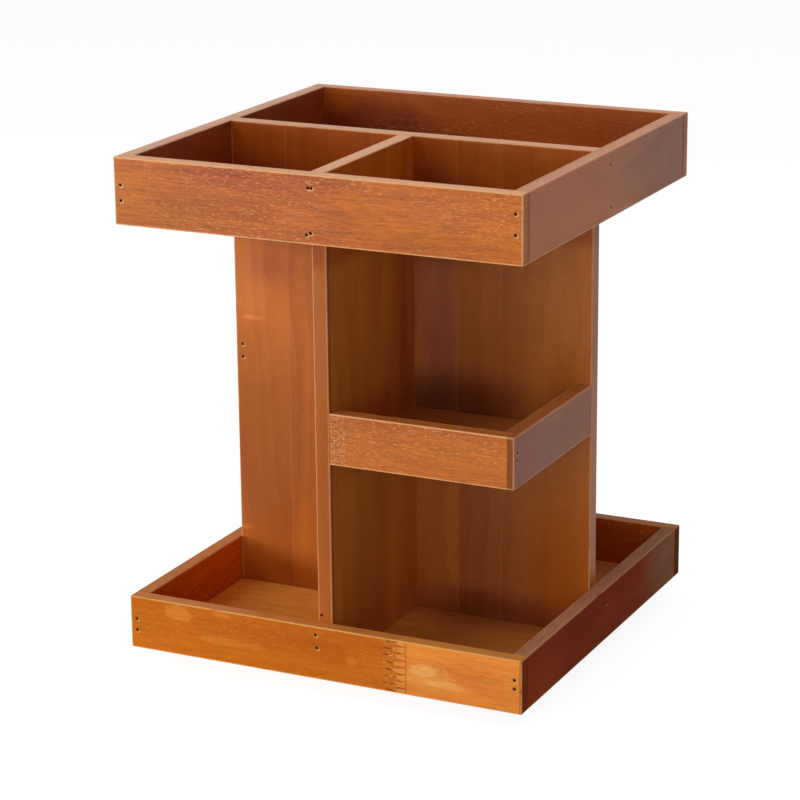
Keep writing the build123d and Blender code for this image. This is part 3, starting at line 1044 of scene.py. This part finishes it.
@dataclass(frozen=True)
class Metal:
    """Plain steel in one of its finishes, worn through Handling."""

    name: str
    colour: Rgb
    dull: Rgb
    roughness: float
    tarnish: float
    grains: float = 240.0

    def material(self) -> bpy.types.Material:
        """Build the metal's material.

        Returns:
            The finished material.
        """
        coat = Coat(self.name)
        graph = coat.graph
        use = coat.handled(0.9)
        cloudy = graph.spots(0.4, 0.7, coat.point, self.grains, 4.0, 0.6)
        coat.colour = self.colour
        coat.over(cloudy, self.tarnish, self.dull)
        coat.over(use["Dust"], 0.4, self.dull)
        rough = graph.plus(
            self.roughness,
            graph.times(use["Smudge"], 0.2),
            graph.times(cloudy, self.tarnish * 0.3),
            clamp=True,
        )
        height = graph.minus(cloudy, use["Scratch"])
        return coat.finish(rough, height, 0.00004, 0.4, {"Metallic": 1.0})


@dataclass(frozen=True)
class Moulded:
    """Rubber or nylon from a mould, with a fine skin and some dust."""

    name: str
    colour: Rgb
    worn: Rgb
    roughness: float
    skin: float
    dust: Rgb = (0.45, 0.42, 0.38)

    def material(self) -> bpy.types.Material:
        """Build the moulded material.

        Returns:
            The finished material.
        """
        coat = Coat(self.name)
        graph = coat.graph
        use = coat.handled(0.8)
        flow = graph.spots(0.35, 0.7, coat.point, (90.0, 90.0, 160.0), 3.0)
        coat.colour = self.colour
        coat.over(flow, 0.5, self.worn)
        coat.over(use["Dust"], 0.6, self.dust)
        rough = graph.plus(self.roughness, use["Smudge"], clamp=True)
        height = graph.plus(graph.noise(coat.point, 2200.0), flow)
        return coat.finish(rough, height, self.skin, 0.5, {})


PLATED = Metal("plated_sheet", (0.62, 0.63, 0.65), (0.42, 0.42, 0.42), 0.28, 0.5)
SCREW = Metal("screw_steel", (0.60, 0.60, 0.62), (0.36, 0.35, 0.33), 0.3, 0.6)
BALL = Metal("ball_steel", (0.72, 0.73, 0.75), (0.5, 0.48, 0.44), 0.08, 0.25)
WIRE = Metal("brad_steel", (0.060, 0.026, 0.014), (0.020, 0.007, 0.004), 0.6, 0.9, 900.0)
NYLON = Moulded("cage_nylon", (0.80, 0.78, 0.72), (0.70, 0.66, 0.56), 0.32, 0.00004)
RUBBER = Moulded("pad_rubber", (0.025, 0.025, 0.026), (0.05, 0.048, 0.045), 0.5, 0.00008)


# ---- Sunk brads ----------------------------------------------------------------------------------


@dataclass
class SunkBrads:
    """Finds where the brads went in, so that the wood about each hole can be marked and the hole
    shaded.
    """

    nodes: tuple[str, ...]
    sink: float = 1.2 * MM
    mouths: list[Vector] = field(default_factory=list)

    def find(self) -> None:
        """Read each brad's head from its node's mesh, and keep the mouth of its hole."""
        for node in self.nodes:
            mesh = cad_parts[node].data
            for island in self.islands(mesh):
                self.mouths.append(self.mouth([mesh.vertices[i].co for i in island]))

    def islands(self, mesh: bpy.types.Mesh) -> list[list[int]]:
        """Group a mesh's vertices into its separate brads.

        Args:
            mesh: The mesh of a node of brads.

        Returns:
            The vertex numbers of each brad.
        """
        cells: dict[tuple, list[int]] = {}
        owner = list(range(len(mesh.vertices)))

        def top(index: int) -> int:
            """Follow a vertex to the first one of its group.

            Args:
                index: The vertex's number.

            Returns:
                The first one's number.
            """
            while owner[index] != index:
                owner[index] = owner[owner[index]]
                index = owner[index]
            return index

        for vertex in mesh.vertices:
            cells.setdefault(tuple(round(c, 6) for c in vertex.co), []).append(vertex.index)
        pairs = [tuple(edge.vertices) for edge in mesh.edges]
        pairs += [(twins[0], twin) for twins in cells.values() for twin in twins[1:]]
        for first, second in pairs:
            owner[top(first)] = top(second)
        groups: dict[int, list[int]] = {}
        for index in range(len(owner)):
            groups.setdefault(top(index), []).append(index)
        return list(groups.values())

    def mouth(self, points: list[Vector]) -> Vector:
        """Work out where a brad's hole meets the face of the wood.

        Args:
            points: The brad's vertices.

        Returns:
            The middle of the hole's mouth.
        """
        low = Vector([min(p[axis] for p in points) for axis in range(3)])
        high = Vector([max(p[axis] for p in points) for axis in range(3)])
        size = high - low
        axis = max(range(3), key=lambda n: size[n])
        side = (axis + 1) % 3
        middle = (low + high) / 2
        ends = {}
        for end in (low[axis], high[axis]):
            near = [p for p in points if abs(p[axis] - end) < 0.1 * MM]
            ends[end] = max(abs(p[side] - middle[side]) for p in near)
        head = max(ends, key=lambda end: ends[end])
        way = 1.0 if head > middle[axis] else -1.0
        middle[axis] = head + way * self.sink
        return middle

    def on(self, node: str) -> tuple[Vector, ...]:
        """List the holes whose mouths lie on a board's faces.

        Args:
            node: The board's node.

        Returns:
            The mouths on that board.
        """
        low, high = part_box(node)
        slack = 0.2 * MM
        found = []
        for mouth in self.mouths:
            inside = all(low[n] - slack <= mouth[n] <= high[n] + slack for n in range(3))
            on_face = any(
                min(abs(mouth[n] - low[n]), abs(mouth[n] - high[n])) < slack for n in range(3)
            )
            if inside and on_face:
                found.append(mouth)
        return tuple(found)


BRADS = SunkBrads(tuple(
    group + "_brads"
    for group in (
        "base_wall", "base_floor", "top_wall", "top_floor", "partition", "front_tray", "back_tray"
    )
))


# ---- Sub-assemblies ------------------------------------------------------------------------------


def dress(node: str, material: bpy.types.Material) -> None:
    """Give a node of the frame its finish.

    Args:
        node: The node's name.
        material: Its only material.
    """
    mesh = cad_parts[node].data
    mesh.materials.clear()
    mesh.materials.append(material)
    LOG.info("%s is dressed in %s", node, material.name)


def dress_board(node: str, lay: Lay, seed: float, **traits: object) -> None:
    """Give a wooden node its own board material.

    Args:
        node: The node's name.
        lay: How the board lies.
        seed: What sets its grain apart.
        **traits: The fields in which this board differs.
    """
    board = StainedBoard(node=node, lay=lay, seed=seed, mouths=BRADS.on(node), **traits)
    dress(node, board.material())


SMOOTH = {"figure": 0.22, "broad": 0.4, "fleck": 0.06, "grain": 0.2, "pore": 0.15, "relief": 0.25}
PANEL = {
    "stain": PLY_STAIN, "ring_pitch": 0.012, "sway": 0.02, "figure": 0.35, "broad": 0.45,
    "fleck": 0.1, "grain": 0.45, "pore": 0.25, "wear": 0.0, "roughness": 0.5, "gloss": 0.15,
    "relief": 0.25,
}
EVERYWHERE = 1000.0
SKIN = 4.0


def flat(axis: int, level: float, *rows: tuple) -> tuple[Patch, ...]:
    """Lay patches on a face, no deeper than its skin.

    Args:
        axis: The axis through the face.
        level: Where the face lies on it, in millimetres.
        *rows: Each patch's middle and reach on the face, its tint, core and ragged edge.

    Returns:
        The patches.
    """
    patches = []
    for middle, reach, *look in rows:
        middle, reach = list(middle), list(reach)
        middle.insert(axis, level)
        reach.insert(axis, SKIN)
        patches.append(Patch(tuple(middle), tuple(reach), *look))
    return tuple(patches)


def end_face(y: float, z: float, tint: Rgb) -> Patch:
    """Tint the end of a board that shows in the right side."""
    return Patch((125, y, z), (1.5, EVERYWHERE, EVERYWHERE), tint, 0.6, 0.0)


@dataclass
class BaseTray:
    """The low tray at the bottom, with its plywood floor."""

    gloss: float = 0.06
    joint_start: float = 40.5 * MM
    joint_length: float = 13.0 * MM
    joint_pitch: float = 4.2 * MM
    joint_tint: Rgb = (1.38, 1.84, 4.8)

    def dress(self) -> None:
        """Dress the four walls and the floor."""
        splice = Splice(
            self.joint_start, self.joint_length, self.joint_pitch, self.joint_tint, 1.0, 0.45
        )
        smudges = flat(
            1, -125,
            ((-92, 40), (11, 6), (1.20, 1.50, 2.8), 0.55, 1.1),
            ((-64, 45), (10, 3), (1.18, 1.45, 2.5), 0.55, 1.1),
            ((-62, 29), (32, 2.5), (1.12, 1.30, 2.0), 0.55, 1.2),
            ((20, 30), (5, 4), (1.15, 1.35, 2.2), 0.2, 0.8),
            ((64, 32), (10, 3.5), (1.10, 1.32, 1.9), 0.55, 1.1),
            ((80, 25), (15, 3), (1.08, 1.26, 1.8), 0.55, 1.1),
        )
        smudges += (end_face(-120, 30, (0.38, 0.08, 0.05)),)
        swirl = flat(1, -125, ((69, 27), (20, 10), (1.05, 1.30, 1.6), 0.3, 0.7))
        dress_board(
            "base_front_wall", Lay.FRONT_WALL, 1.0, stain=BASE_STAIN.times(0.96, 0.94, 1.1),
            gloss=self.gloss, splice=splice, cloud=0.45, fleck=0.2, figure=0.2, broad=0.42,
            grain=0.45, pore=0.2, wear=0.9, patches=smudges, curls=swirl, end=0.6, crown=0.8,
            butted="y+",
        )
        dress_board(
            "base_back_wall", Lay.FRONT_WALL, 2.0, stain=BASE_STAIN.times(0.8, 0.62, 0.8),
            # the bluer, greyer cast on this end face at the back corner is a painted reflection
            end=0.7, patches=(end_face(120, 30, (0.55, 0.8, 3.0)),), gloss=self.gloss,
            figure=0.25, butted="y-",
        )
        dress_board(
            "base_left_wall", Lay.SIDE_WALL, 3.0, stain=BASE_STAIN.times(0.82, 0.70, 1.0),
            gloss=self.gloss, cloud=0.8, figure=0.25, crown=0.8, butted="y- y+",
        )
        tones_and_painted_light = flat(
            0, 125,
            # painted reflection: a paler, bluer cast towards the back end of the right wall
            ((120, 36), (75, 60), (1.30, 4.6, 34.0), 0.1, 0.25),
            ((-110, 30), (60, 60), (1.2, 1.35, 0.7), 0.2, 0.2),
        )
        # the darker stain on this right-facing wall is partly painted shade
        dress_board(
            "base_right_wall", Lay.SIDE_WALL, 4.0, stain=RED_SHADED_STAIN, cloud=0.8, figure=0.2,
            grain=0.2, fleck=0.03, pore=0.1, crown=0.9, wear=0.8, gloss=0.006, relief=0.25,
            patches=tones_and_painted_light, butted="y- y+",
        )
        shares = (
            # painted light: the left bay's floor made much lighter where it is lit
            Patch((-62, -62, 19), (115, 115, 30), (2.15, 3.1, 2.6), 0.6),
            # painted shadow: the right bay's floor darker along the cross board
            Patch((62, -5, 19), (90, 22, 30), (0.55, 0.45, 0.5), 0.3, 0.4),
        )
        dress_board("base_floor", Lay.FLOOR, 5.0, patches=shares, **PANEL)


@dataclass
class TopTray:
    """The shallow tray on top, with a floor for each compartment."""

    floors: tuple[str, ...] = ("front_left", "front_right", "back")
    inner: float = 116.5
    # painted shade laid over the inner faces of the tray's walls
    inner_shade_tint: Rgb = (0.58, 0.44, 0.27)

    def inside(self, axis: int, level: float) -> tuple[Patch, ...]:
        """Paint shade over a wall's whole inner face, inside the tray."""
        middle = (0.0, 290.0)
        return flat(axis, level, (middle, (EVERYWHERE, EVERYWHERE), self.inner_shade_tint, 0.5, 0.0))

    def dress(self) -> None:
        """Dress the four walls and the three floors."""
        tones_and_painted_light = flat(
            1, -125,
            # the first, third and fifth rows, which raise blue, paint the lacquer's sheen over the
            # upper middle and right of the face
            ((-20, 303), (75, 11), (0.90, 0.80, 1.5), 0.2, 0.5),
            ((-60, 306), (45, 3), (0.80, 0.66, 1.0), 0.2, 0.6),
            ((75, 296), (60, 18), (1.02, 1.0, 2.3), 0.2, 0.4),
            ((-90, 281), (60, 18), (0.90, 0.92, 0.42), 0.2, 0.4),
            ((0, 286), (28, 11), (1.12, 1.22, 1.9), 0.1, 0.6),
        )
        dress_board(
            "top_front_wall", Lay.FRONT_WALL, 11.0, stain=HONEY_STAIN.times(0.95, 0.92, 0.75),
            fleck=0.42, cloud=0.5, grain=1.05, figure=0.3, broad=0.3, crown=0.95, wear=0.9,
            patches=self.inside(1, -self.inner) + tones_and_painted_light, butted="y+",
        )
        # painted shade in the lower left of the back wall's inner face
        corner = flat(1, self.inner, ((-85, 272), (95, 36), (0.55, 0.42, 0.45), 0.4, 0.3))
        dress_board(
            "top_back_wall", Lay.FRONT_WALL, 12.0, fleck=0.25, figure=0.25,
            patches=self.inside(1, self.inner) + corner, butted="y-",
        )
        middle, reach = (0, 290), (EVERYWHERE, EVERYWHERE)
        # painted shade over the left wall's whole inner face
        deep = flat(0, -self.inner, (middle, reach, (0.7, 0.6, 0.7), 0.5, 0.0))
        dress_board(
            "top_left_wall", Lay.SIDE_WALL, 13.0, figure=0.25, fleck=0.1, crown=0.95,
            stain=replace(HONEY_STAIN, crown=(0.80, 0.39, 0.23)),
            patches=self.inside(0, -self.inner) + deep, butted="y- y+",
        )
        # painted shade: the right wall darker towards its back end
        far_end_shade = flat(0, 125, ((125, 290), (130, EVERYWHERE), (0.60, 0.54, 0.56), 0.3, 0.1))
        dress_board(
            "top_right_wall", Lay.SIDE_WALL, 14.0, stain=HONEY_STAIN.times(0.93, 0.92, 1.0),
            patches=self.inside(0, self.inner) + far_end_shade, crown=0.42, gloss=0.28, butted="y- y+",
            **SMOOTH,
        )
        for step, bay in enumerate(self.floors):
            dress_board("top_floor_" + bay, Lay.FLOOR, 15.0 + step, **PANEL)


@dataclass
class Partition:
    """The cross board with a divider before and behind it."""

    seams: tuple[float, ...] = (-80.0 * MM, -22.0 * MM, 32.0 * MM, 60.0 * MM)
    front: float = -4.75
    # painted shade: the uprights darker high up, inside the top tray
    top_tray_shade: Patch = Patch(
        (0, 0, 310), (EVERYWHERE, EVERYWHERE, 60), (0.77, 0.58, 0.31), 0.85, 0.0
    )

    def dress(self) -> None:
        """Dress the three upright boards."""
        tones_and_painted_light = flat(
            1, self.front,
            # the first two rows paint sheen: a paler, bluer cast right of the divider
            ((62, 130), (66, 260), (0.96, 1.13, 1.75), 0.75, 0.05),
            ((18, 205), (20, 120), (0.92, 0.98, 1.9), 0.5, 0.1),
            ((105, 60), (40, 90), (0.98, 0.78, 0.32), 0.25, 0.3),
            ((104, 172), (22, 30), (0.85, 0.76, 0.55), 0.2, 0.4),
            # the next two rows paint shade at the foot of the right bays, over the mid tray's floor
            # and the base floor
            ((35, 148), (66, 34), (0.50, 0.40, 0.40), 0.2, 0.3),
            ((60, 20), (75, 24), (0.62, 0.52, 0.50), 0.3, 0.3),
            ((-95, 195), (32, 26), (1.10, 1.08, 1.1), 0.2, 0.3),
            ((-92, 222), (30, 16), (0.88, 0.78, 1.3), 0.2, 0.3),
            ((-100, 110), (60, 90), (0.74, 0.70, 0.55), 0.3, 0.2),
            # painted shade at the foot of the left bay, above the base floor
            ((-90, 20), (70, 26), (0.80, 0.68, 0.45), 0.3, 0.3),
            ((-106, 208), (16, 24), (1.08, 1.14, 1.6), 0.55, 0.35),
            ((-106, 189), (11, 2.2), (1.25, 1.4, 2.0), 0.2, 0.9),
            ((-113, 54), (9, 2.4), (1.3, 1.5, 2.2), 0.2, 0.9),
        )
        tones_and_painted_light += (end_face(0, 150, (0.66, 0.42, 0.28)), self.top_tray_shade)
        # painted shade in the top tray's compartments, low on the cross board
        tones_and_painted_light += flat(
            1, self.front,
            ((-80, 262), (75, 34), (0.55, 0.42, 0.45), 0.35, 0.3),
            ((22, 262), (60, 34), (0.62, 0.50, 0.50), 0.3, 0.3),
        )
        dress_board(
            "cross_board", Lay.CROSS, 21.0, stain=UPRIGHT_STAIN, seams=self.seams,
            patches=tones_and_painted_light, ring_pitch=0.013, pith_depth=0.012, sway=0.02, cloud=0.35,
            roughness=0.32, gloss=0.22, end=0.0, crown=0.8, butted="z-", **SMOOTH,
        )
        shade = flat(
            1, -116.5,
            ((0, 150), (30, EVERYWHERE), (0.70, 0.54, 0.38), 0.6, 0.0),
            # painted sheen: a paler, bluer cast high on the divider's front edge
            ((0, 225), (30, 65), (0.98, 1.06, 2.0), 0.3, 0.2),
        )
        shade += flat(
            0, 4,
            ((-16, 210), (22, 110), (0.72, 0.58, 0.60), 0.3, 0.2),
            ((-60, 148), (80, 30), (0.80, 0.64, 0.50), 0.2, 0.3),
        )
        divider = {
            "ring_pitch": 0.01, "cloud": 0.4, "roughness": 0.34, "gloss": 0.22, "end": 0.0, **SMOOTH
        }
        # a lighter copy of the upright stain: painted light on the divider's shaded right face
        dress_board(
            "front_divider", Lay.DIVIDER, 22.0, stain=UPRIGHT_STAIN.times(1.30, 1.58, 1.7),
            crown=1.0, wear=0.5, patches=shade + (self.top_tray_shade,), butted="y+ z-", **divider,
        )
        dress_board(
            "back_divider", Lay.DIVIDER, 23.0, stain=UPRIGHT_STAIN.times(1.1, 1.15, 1.3),
            patches=(self.top_tray_shade,), butted="y- z-", **divider,
        )


@dataclass
class MiddleTray:
    """One of the two open trays at mid height."""

    prefix: str
    end_rail: str
    seed: float
    joint_start: float
    far_side: str
    joint_length: float = 9.5 * MM
    joint_pitch: float = 4.0 * MM
    joint_tint: Rgb = (1.0, 0.98, 0.9)

    def dress(self) -> None:
        """Dress the two rails and the floor."""
        splice = Splice(
            self.joint_start, self.joint_length, self.joint_pitch, self.joint_tint, 0.5, 0.8
        )
        dress_board(
            f"{self.prefix}_{self.end_rail}", Lay.FRONT_WALL, self.seed, splice=splice,
            stain=HONEY_STAIN.times(0.94, 0.95, 1.3), fleck=0.5, cloud=0.6, grain=0.8,
            figure=0.3, crown=0.1, wear=0.9, gloss=0.28, butted="x- x+",
        )
        dress_board(
            f"{self.prefix}_side_rail", Lay.SIDE_WALL, self.seed + 1, crown=0.18, gloss=0.26,
            # a darker copy of the honey stain: painted shade on the rail's right face
            stain=HONEY_STAIN.times(0.58, 0.54, 0.58), end=0.25, butted=self.far_side, **SMOOTH,
        )
        # a darker copy of the plywood stain: painted shade on the tray's floor
        floor = {**PANEL, "stain": PLY_STAIN.times(0.42, 0.31, 0.32)}
        dress_board(f"{self.prefix}_floor", Lay.FLOOR, self.seed + 2, **floor)


@dataclass
class PlateBearing:
    """The pressed plates, the ball ring and the screws of the turntable."""

    sides: tuple[str, ...] = ("upper", "lower")

    def dress(self) -> None:
        """Dress the steel and nylon pieces."""
        plated, screws = PLATED.material(), SCREW.material()
        for side in self.sides:
            dress(f"bearing_{side}_plate", plated)
            dress(f"bearing_{side}_screws", screws)
        dress("bearing_balls", BALL.material())
        dress("ball_cage", NYLON.material())


@dataclass
class Foot:
    """The disc that stands on the table, with its pads."""

    radius: float = 65.0 * MM

    def dress(self) -> None:
        """Dress the disc and the pads."""
        dress("foot_disc", FootPly(self.radius).material())
        dress("rubber_pads", RUBBER.material())


@dataclass
class BradSet:
    """All the wire brads."""

    brads: SunkBrads

    def dress(self) -> None:
        """Dress every node of brads in the same dull wire."""
        wire = WIRE.material()
        for node in self.brads.nodes:
            dress(node, wire)


# ---- Studio --------------------------------------------------------------------------------------


AIM = (0.0, 0.0, 0.16)


@dataclass(frozen=True)
class Lamp:
    """A soft square lamp that faces a point."""

    name: str
    place: tuple[float, float, float]
    aim: tuple[float, float, float]
    width: float
    height: float
    watts: float

    def build(self) -> None:
        """Add the lamp to the scene."""
        light = bpy.data.lights.new(self.name, "AREA")
        light.shape = "RECTANGLE"
        light.size = self.width
        light.size_y = self.height
        light.energy = self.watts
        lamp = bpy.data.objects.new(self.name, light)
        bpy.context.scene.collection.objects.link(lamp)
        lamp.location = self.place
        way = Vector(self.aim) - Vector(self.place)
        lamp.rotation_euler = way.to_track_quat("-Z", "Y").to_euler()


@dataclass
class Studio:
    """A pale floor, soft lamps, a white surround and the camera."""

    floor_half: float = 14.0
    floor_colour: float = 0.55
    shown_colour: float = 0.33
    floor_glow: float = 0.9
    surround: float = 0.17
    lens: float = 125.231
    sensor: float = 36.0
    camera_place: tuple[float, float, float] = (0.68715, -1.43472, 0.62349)
    azimuth: float = 25.863
    elevation: float = 16.634
    roll: float = -0.559
    lamps: tuple[Lamp, ...] = (
        Lamp("high_key_lamp", (-1.15, -1.30, 0.62), AIM, 1.1, 0.9, 6.1),
        Lamp("low_key_lamp", (-1.45, -1.30, 0.30), AIM, 1.1, 0.5, 13.0),
        Lamp("raised_key_lamp", (-0.80, -1.20, 1.20), AIM, 0.6, 0.6, 4.4),
        Lamp("front_lamp", (0.50, -1.90, 0.50), AIM, 1.0, 0.8, 7.0),
        Lamp("right_lamp", (0.60, -0.10, 0.90), (0.10, 0.0, 0.20), 0.4, 0.4, 0.85),
        Lamp("top_lamp", (0.0, 0.0, 1.80), (0.0, 0.0, 0.20), 0.35, 0.35, 5.0),
    )

    def build(self) -> None:
        """Build the floor, the lamps, the surround and the camera."""
        self.lay_floor()
        for lamp in self.lamps:
            lamp.build()
        self.light_surround()
        self.set_camera()
        bpy.context.scene.view_settings.view_transform = "Standard"

    def seen_directly(self, graph: Graph) -> Socket:
        """Tell camera, glossy and transmission rays from the others.

        Args:
            graph: The node tree that asks.

        Returns:
            1 for those rays and 0 for the rest.
        """
        path = graph.add("LightPath").outputs
        mirrored = graph.most(path["Is Glossy Ray"], path["Is Transmission Ray"])
        return graph.most(path["Is Camera Ray"], mirrored)

    def lay_floor(self) -> None:
        """Lay the plain pale floor under the pads."""
        half = self.floor_half
        mesh = bpy.data.meshes.new("studio_floor")
        ways = ((-1, -1), (1, -1), (1, 1), (-1, 1))
        corners = [(half * x, half * y, 0.0) for x, y in ways]
        mesh.from_pydata(corners, [], [(0, 1, 2, 3)])
        floor = bpy.data.objects.new("studio_floor", mesh)
        bpy.context.scene.collection.objects.link(floor)
        coat = Coat("studio_floor")
        shown = self.seen_directly(coat.graph)
        coat.feed({
            "Base Color": coat.graph.spread(shown, 0.0, 1.0, self.floor_colour, self.shown_colour),
            "Roughness": 1.0,
            "Specular IOR Level": 0.0,
            "Emission Color": WHITE,
            "Emission Strength": coat.graph.times(shown, self.floor_glow),
        })
        mesh.materials.append(coat.material)

    def light_surround(self) -> None:
        """Make the world white to the eye and dimmer as a light."""
        world = bpy.data.worlds.new("studio_surround")
        world.use_nodes = True
        bpy.context.scene.world = world
        graph = Graph(world.node_tree)
        strength = graph.spread(self.seen_directly(graph), 0.0, 1.0, self.surround, 1.0)
        background = graph.add("Background", {"Color": WHITE, "Strength": strength})
        graph.add("OutputWorld", {"Surface": background.outputs[0]})

    def set_camera(self) -> None:
        """Stand the camera at the photograph's viewing angle."""
        angles = (self.azimuth, self.elevation, self.roll)
        turn, rise, roll = (math.radians(angle) for angle in angles)
        flat = math.cos(rise)
        forward = Vector((-math.sin(turn) * flat, math.cos(turn) * flat, -math.sin(rise)))
        level = Vector((math.cos(turn), math.sin(turn), 0.0))
        upright = level.cross(forward)
        right = math.cos(roll) * level + math.sin(roll) * upright
        up = right.cross(forward)
        lens = bpy.data.cameras.new("studio_camera")
        lens.lens = self.lens
        lens.sensor_width = self.sensor
        camera = bpy.data.objects.new("studio_camera", lens)
        bpy.context.scene.collection.objects.link(camera)
        turned = Matrix((right, up, -forward)).transposed().to_4x4()
        camera.matrix_world = Matrix.Translation(self.camera_place) @ turned
        bpy.context.scene.camera = camera


def main() -> None:
    """Dress each sub-assembly in order and set up the studio."""
    logging.basicConfig(level=logging.INFO, format="%(message)s")
    BRADS.find()
    LOG.info("%d brads are sunk in the wood", len(BRADS.mouths))
    assemblies = (
        BaseTray(),
        Partition(),
        MiddleTray("front_tray", "front_rail", 31.0, joint_start=4.7 * MM, far_side="y+"),
        MiddleTray("back_tray", "back_rail", 41.0, joint_start=-60.0 * MM, far_side="y-"),
        TopTray(),
        PlateBearing(),
        Foot(),
        BradSet(BRADS),
    )
    for assembly in assemblies:
        assembly.dress()
        LOG.info("%s is done", type(assembly).__name__)
    Studio().build()


if __name__ == "__main__":
    main()
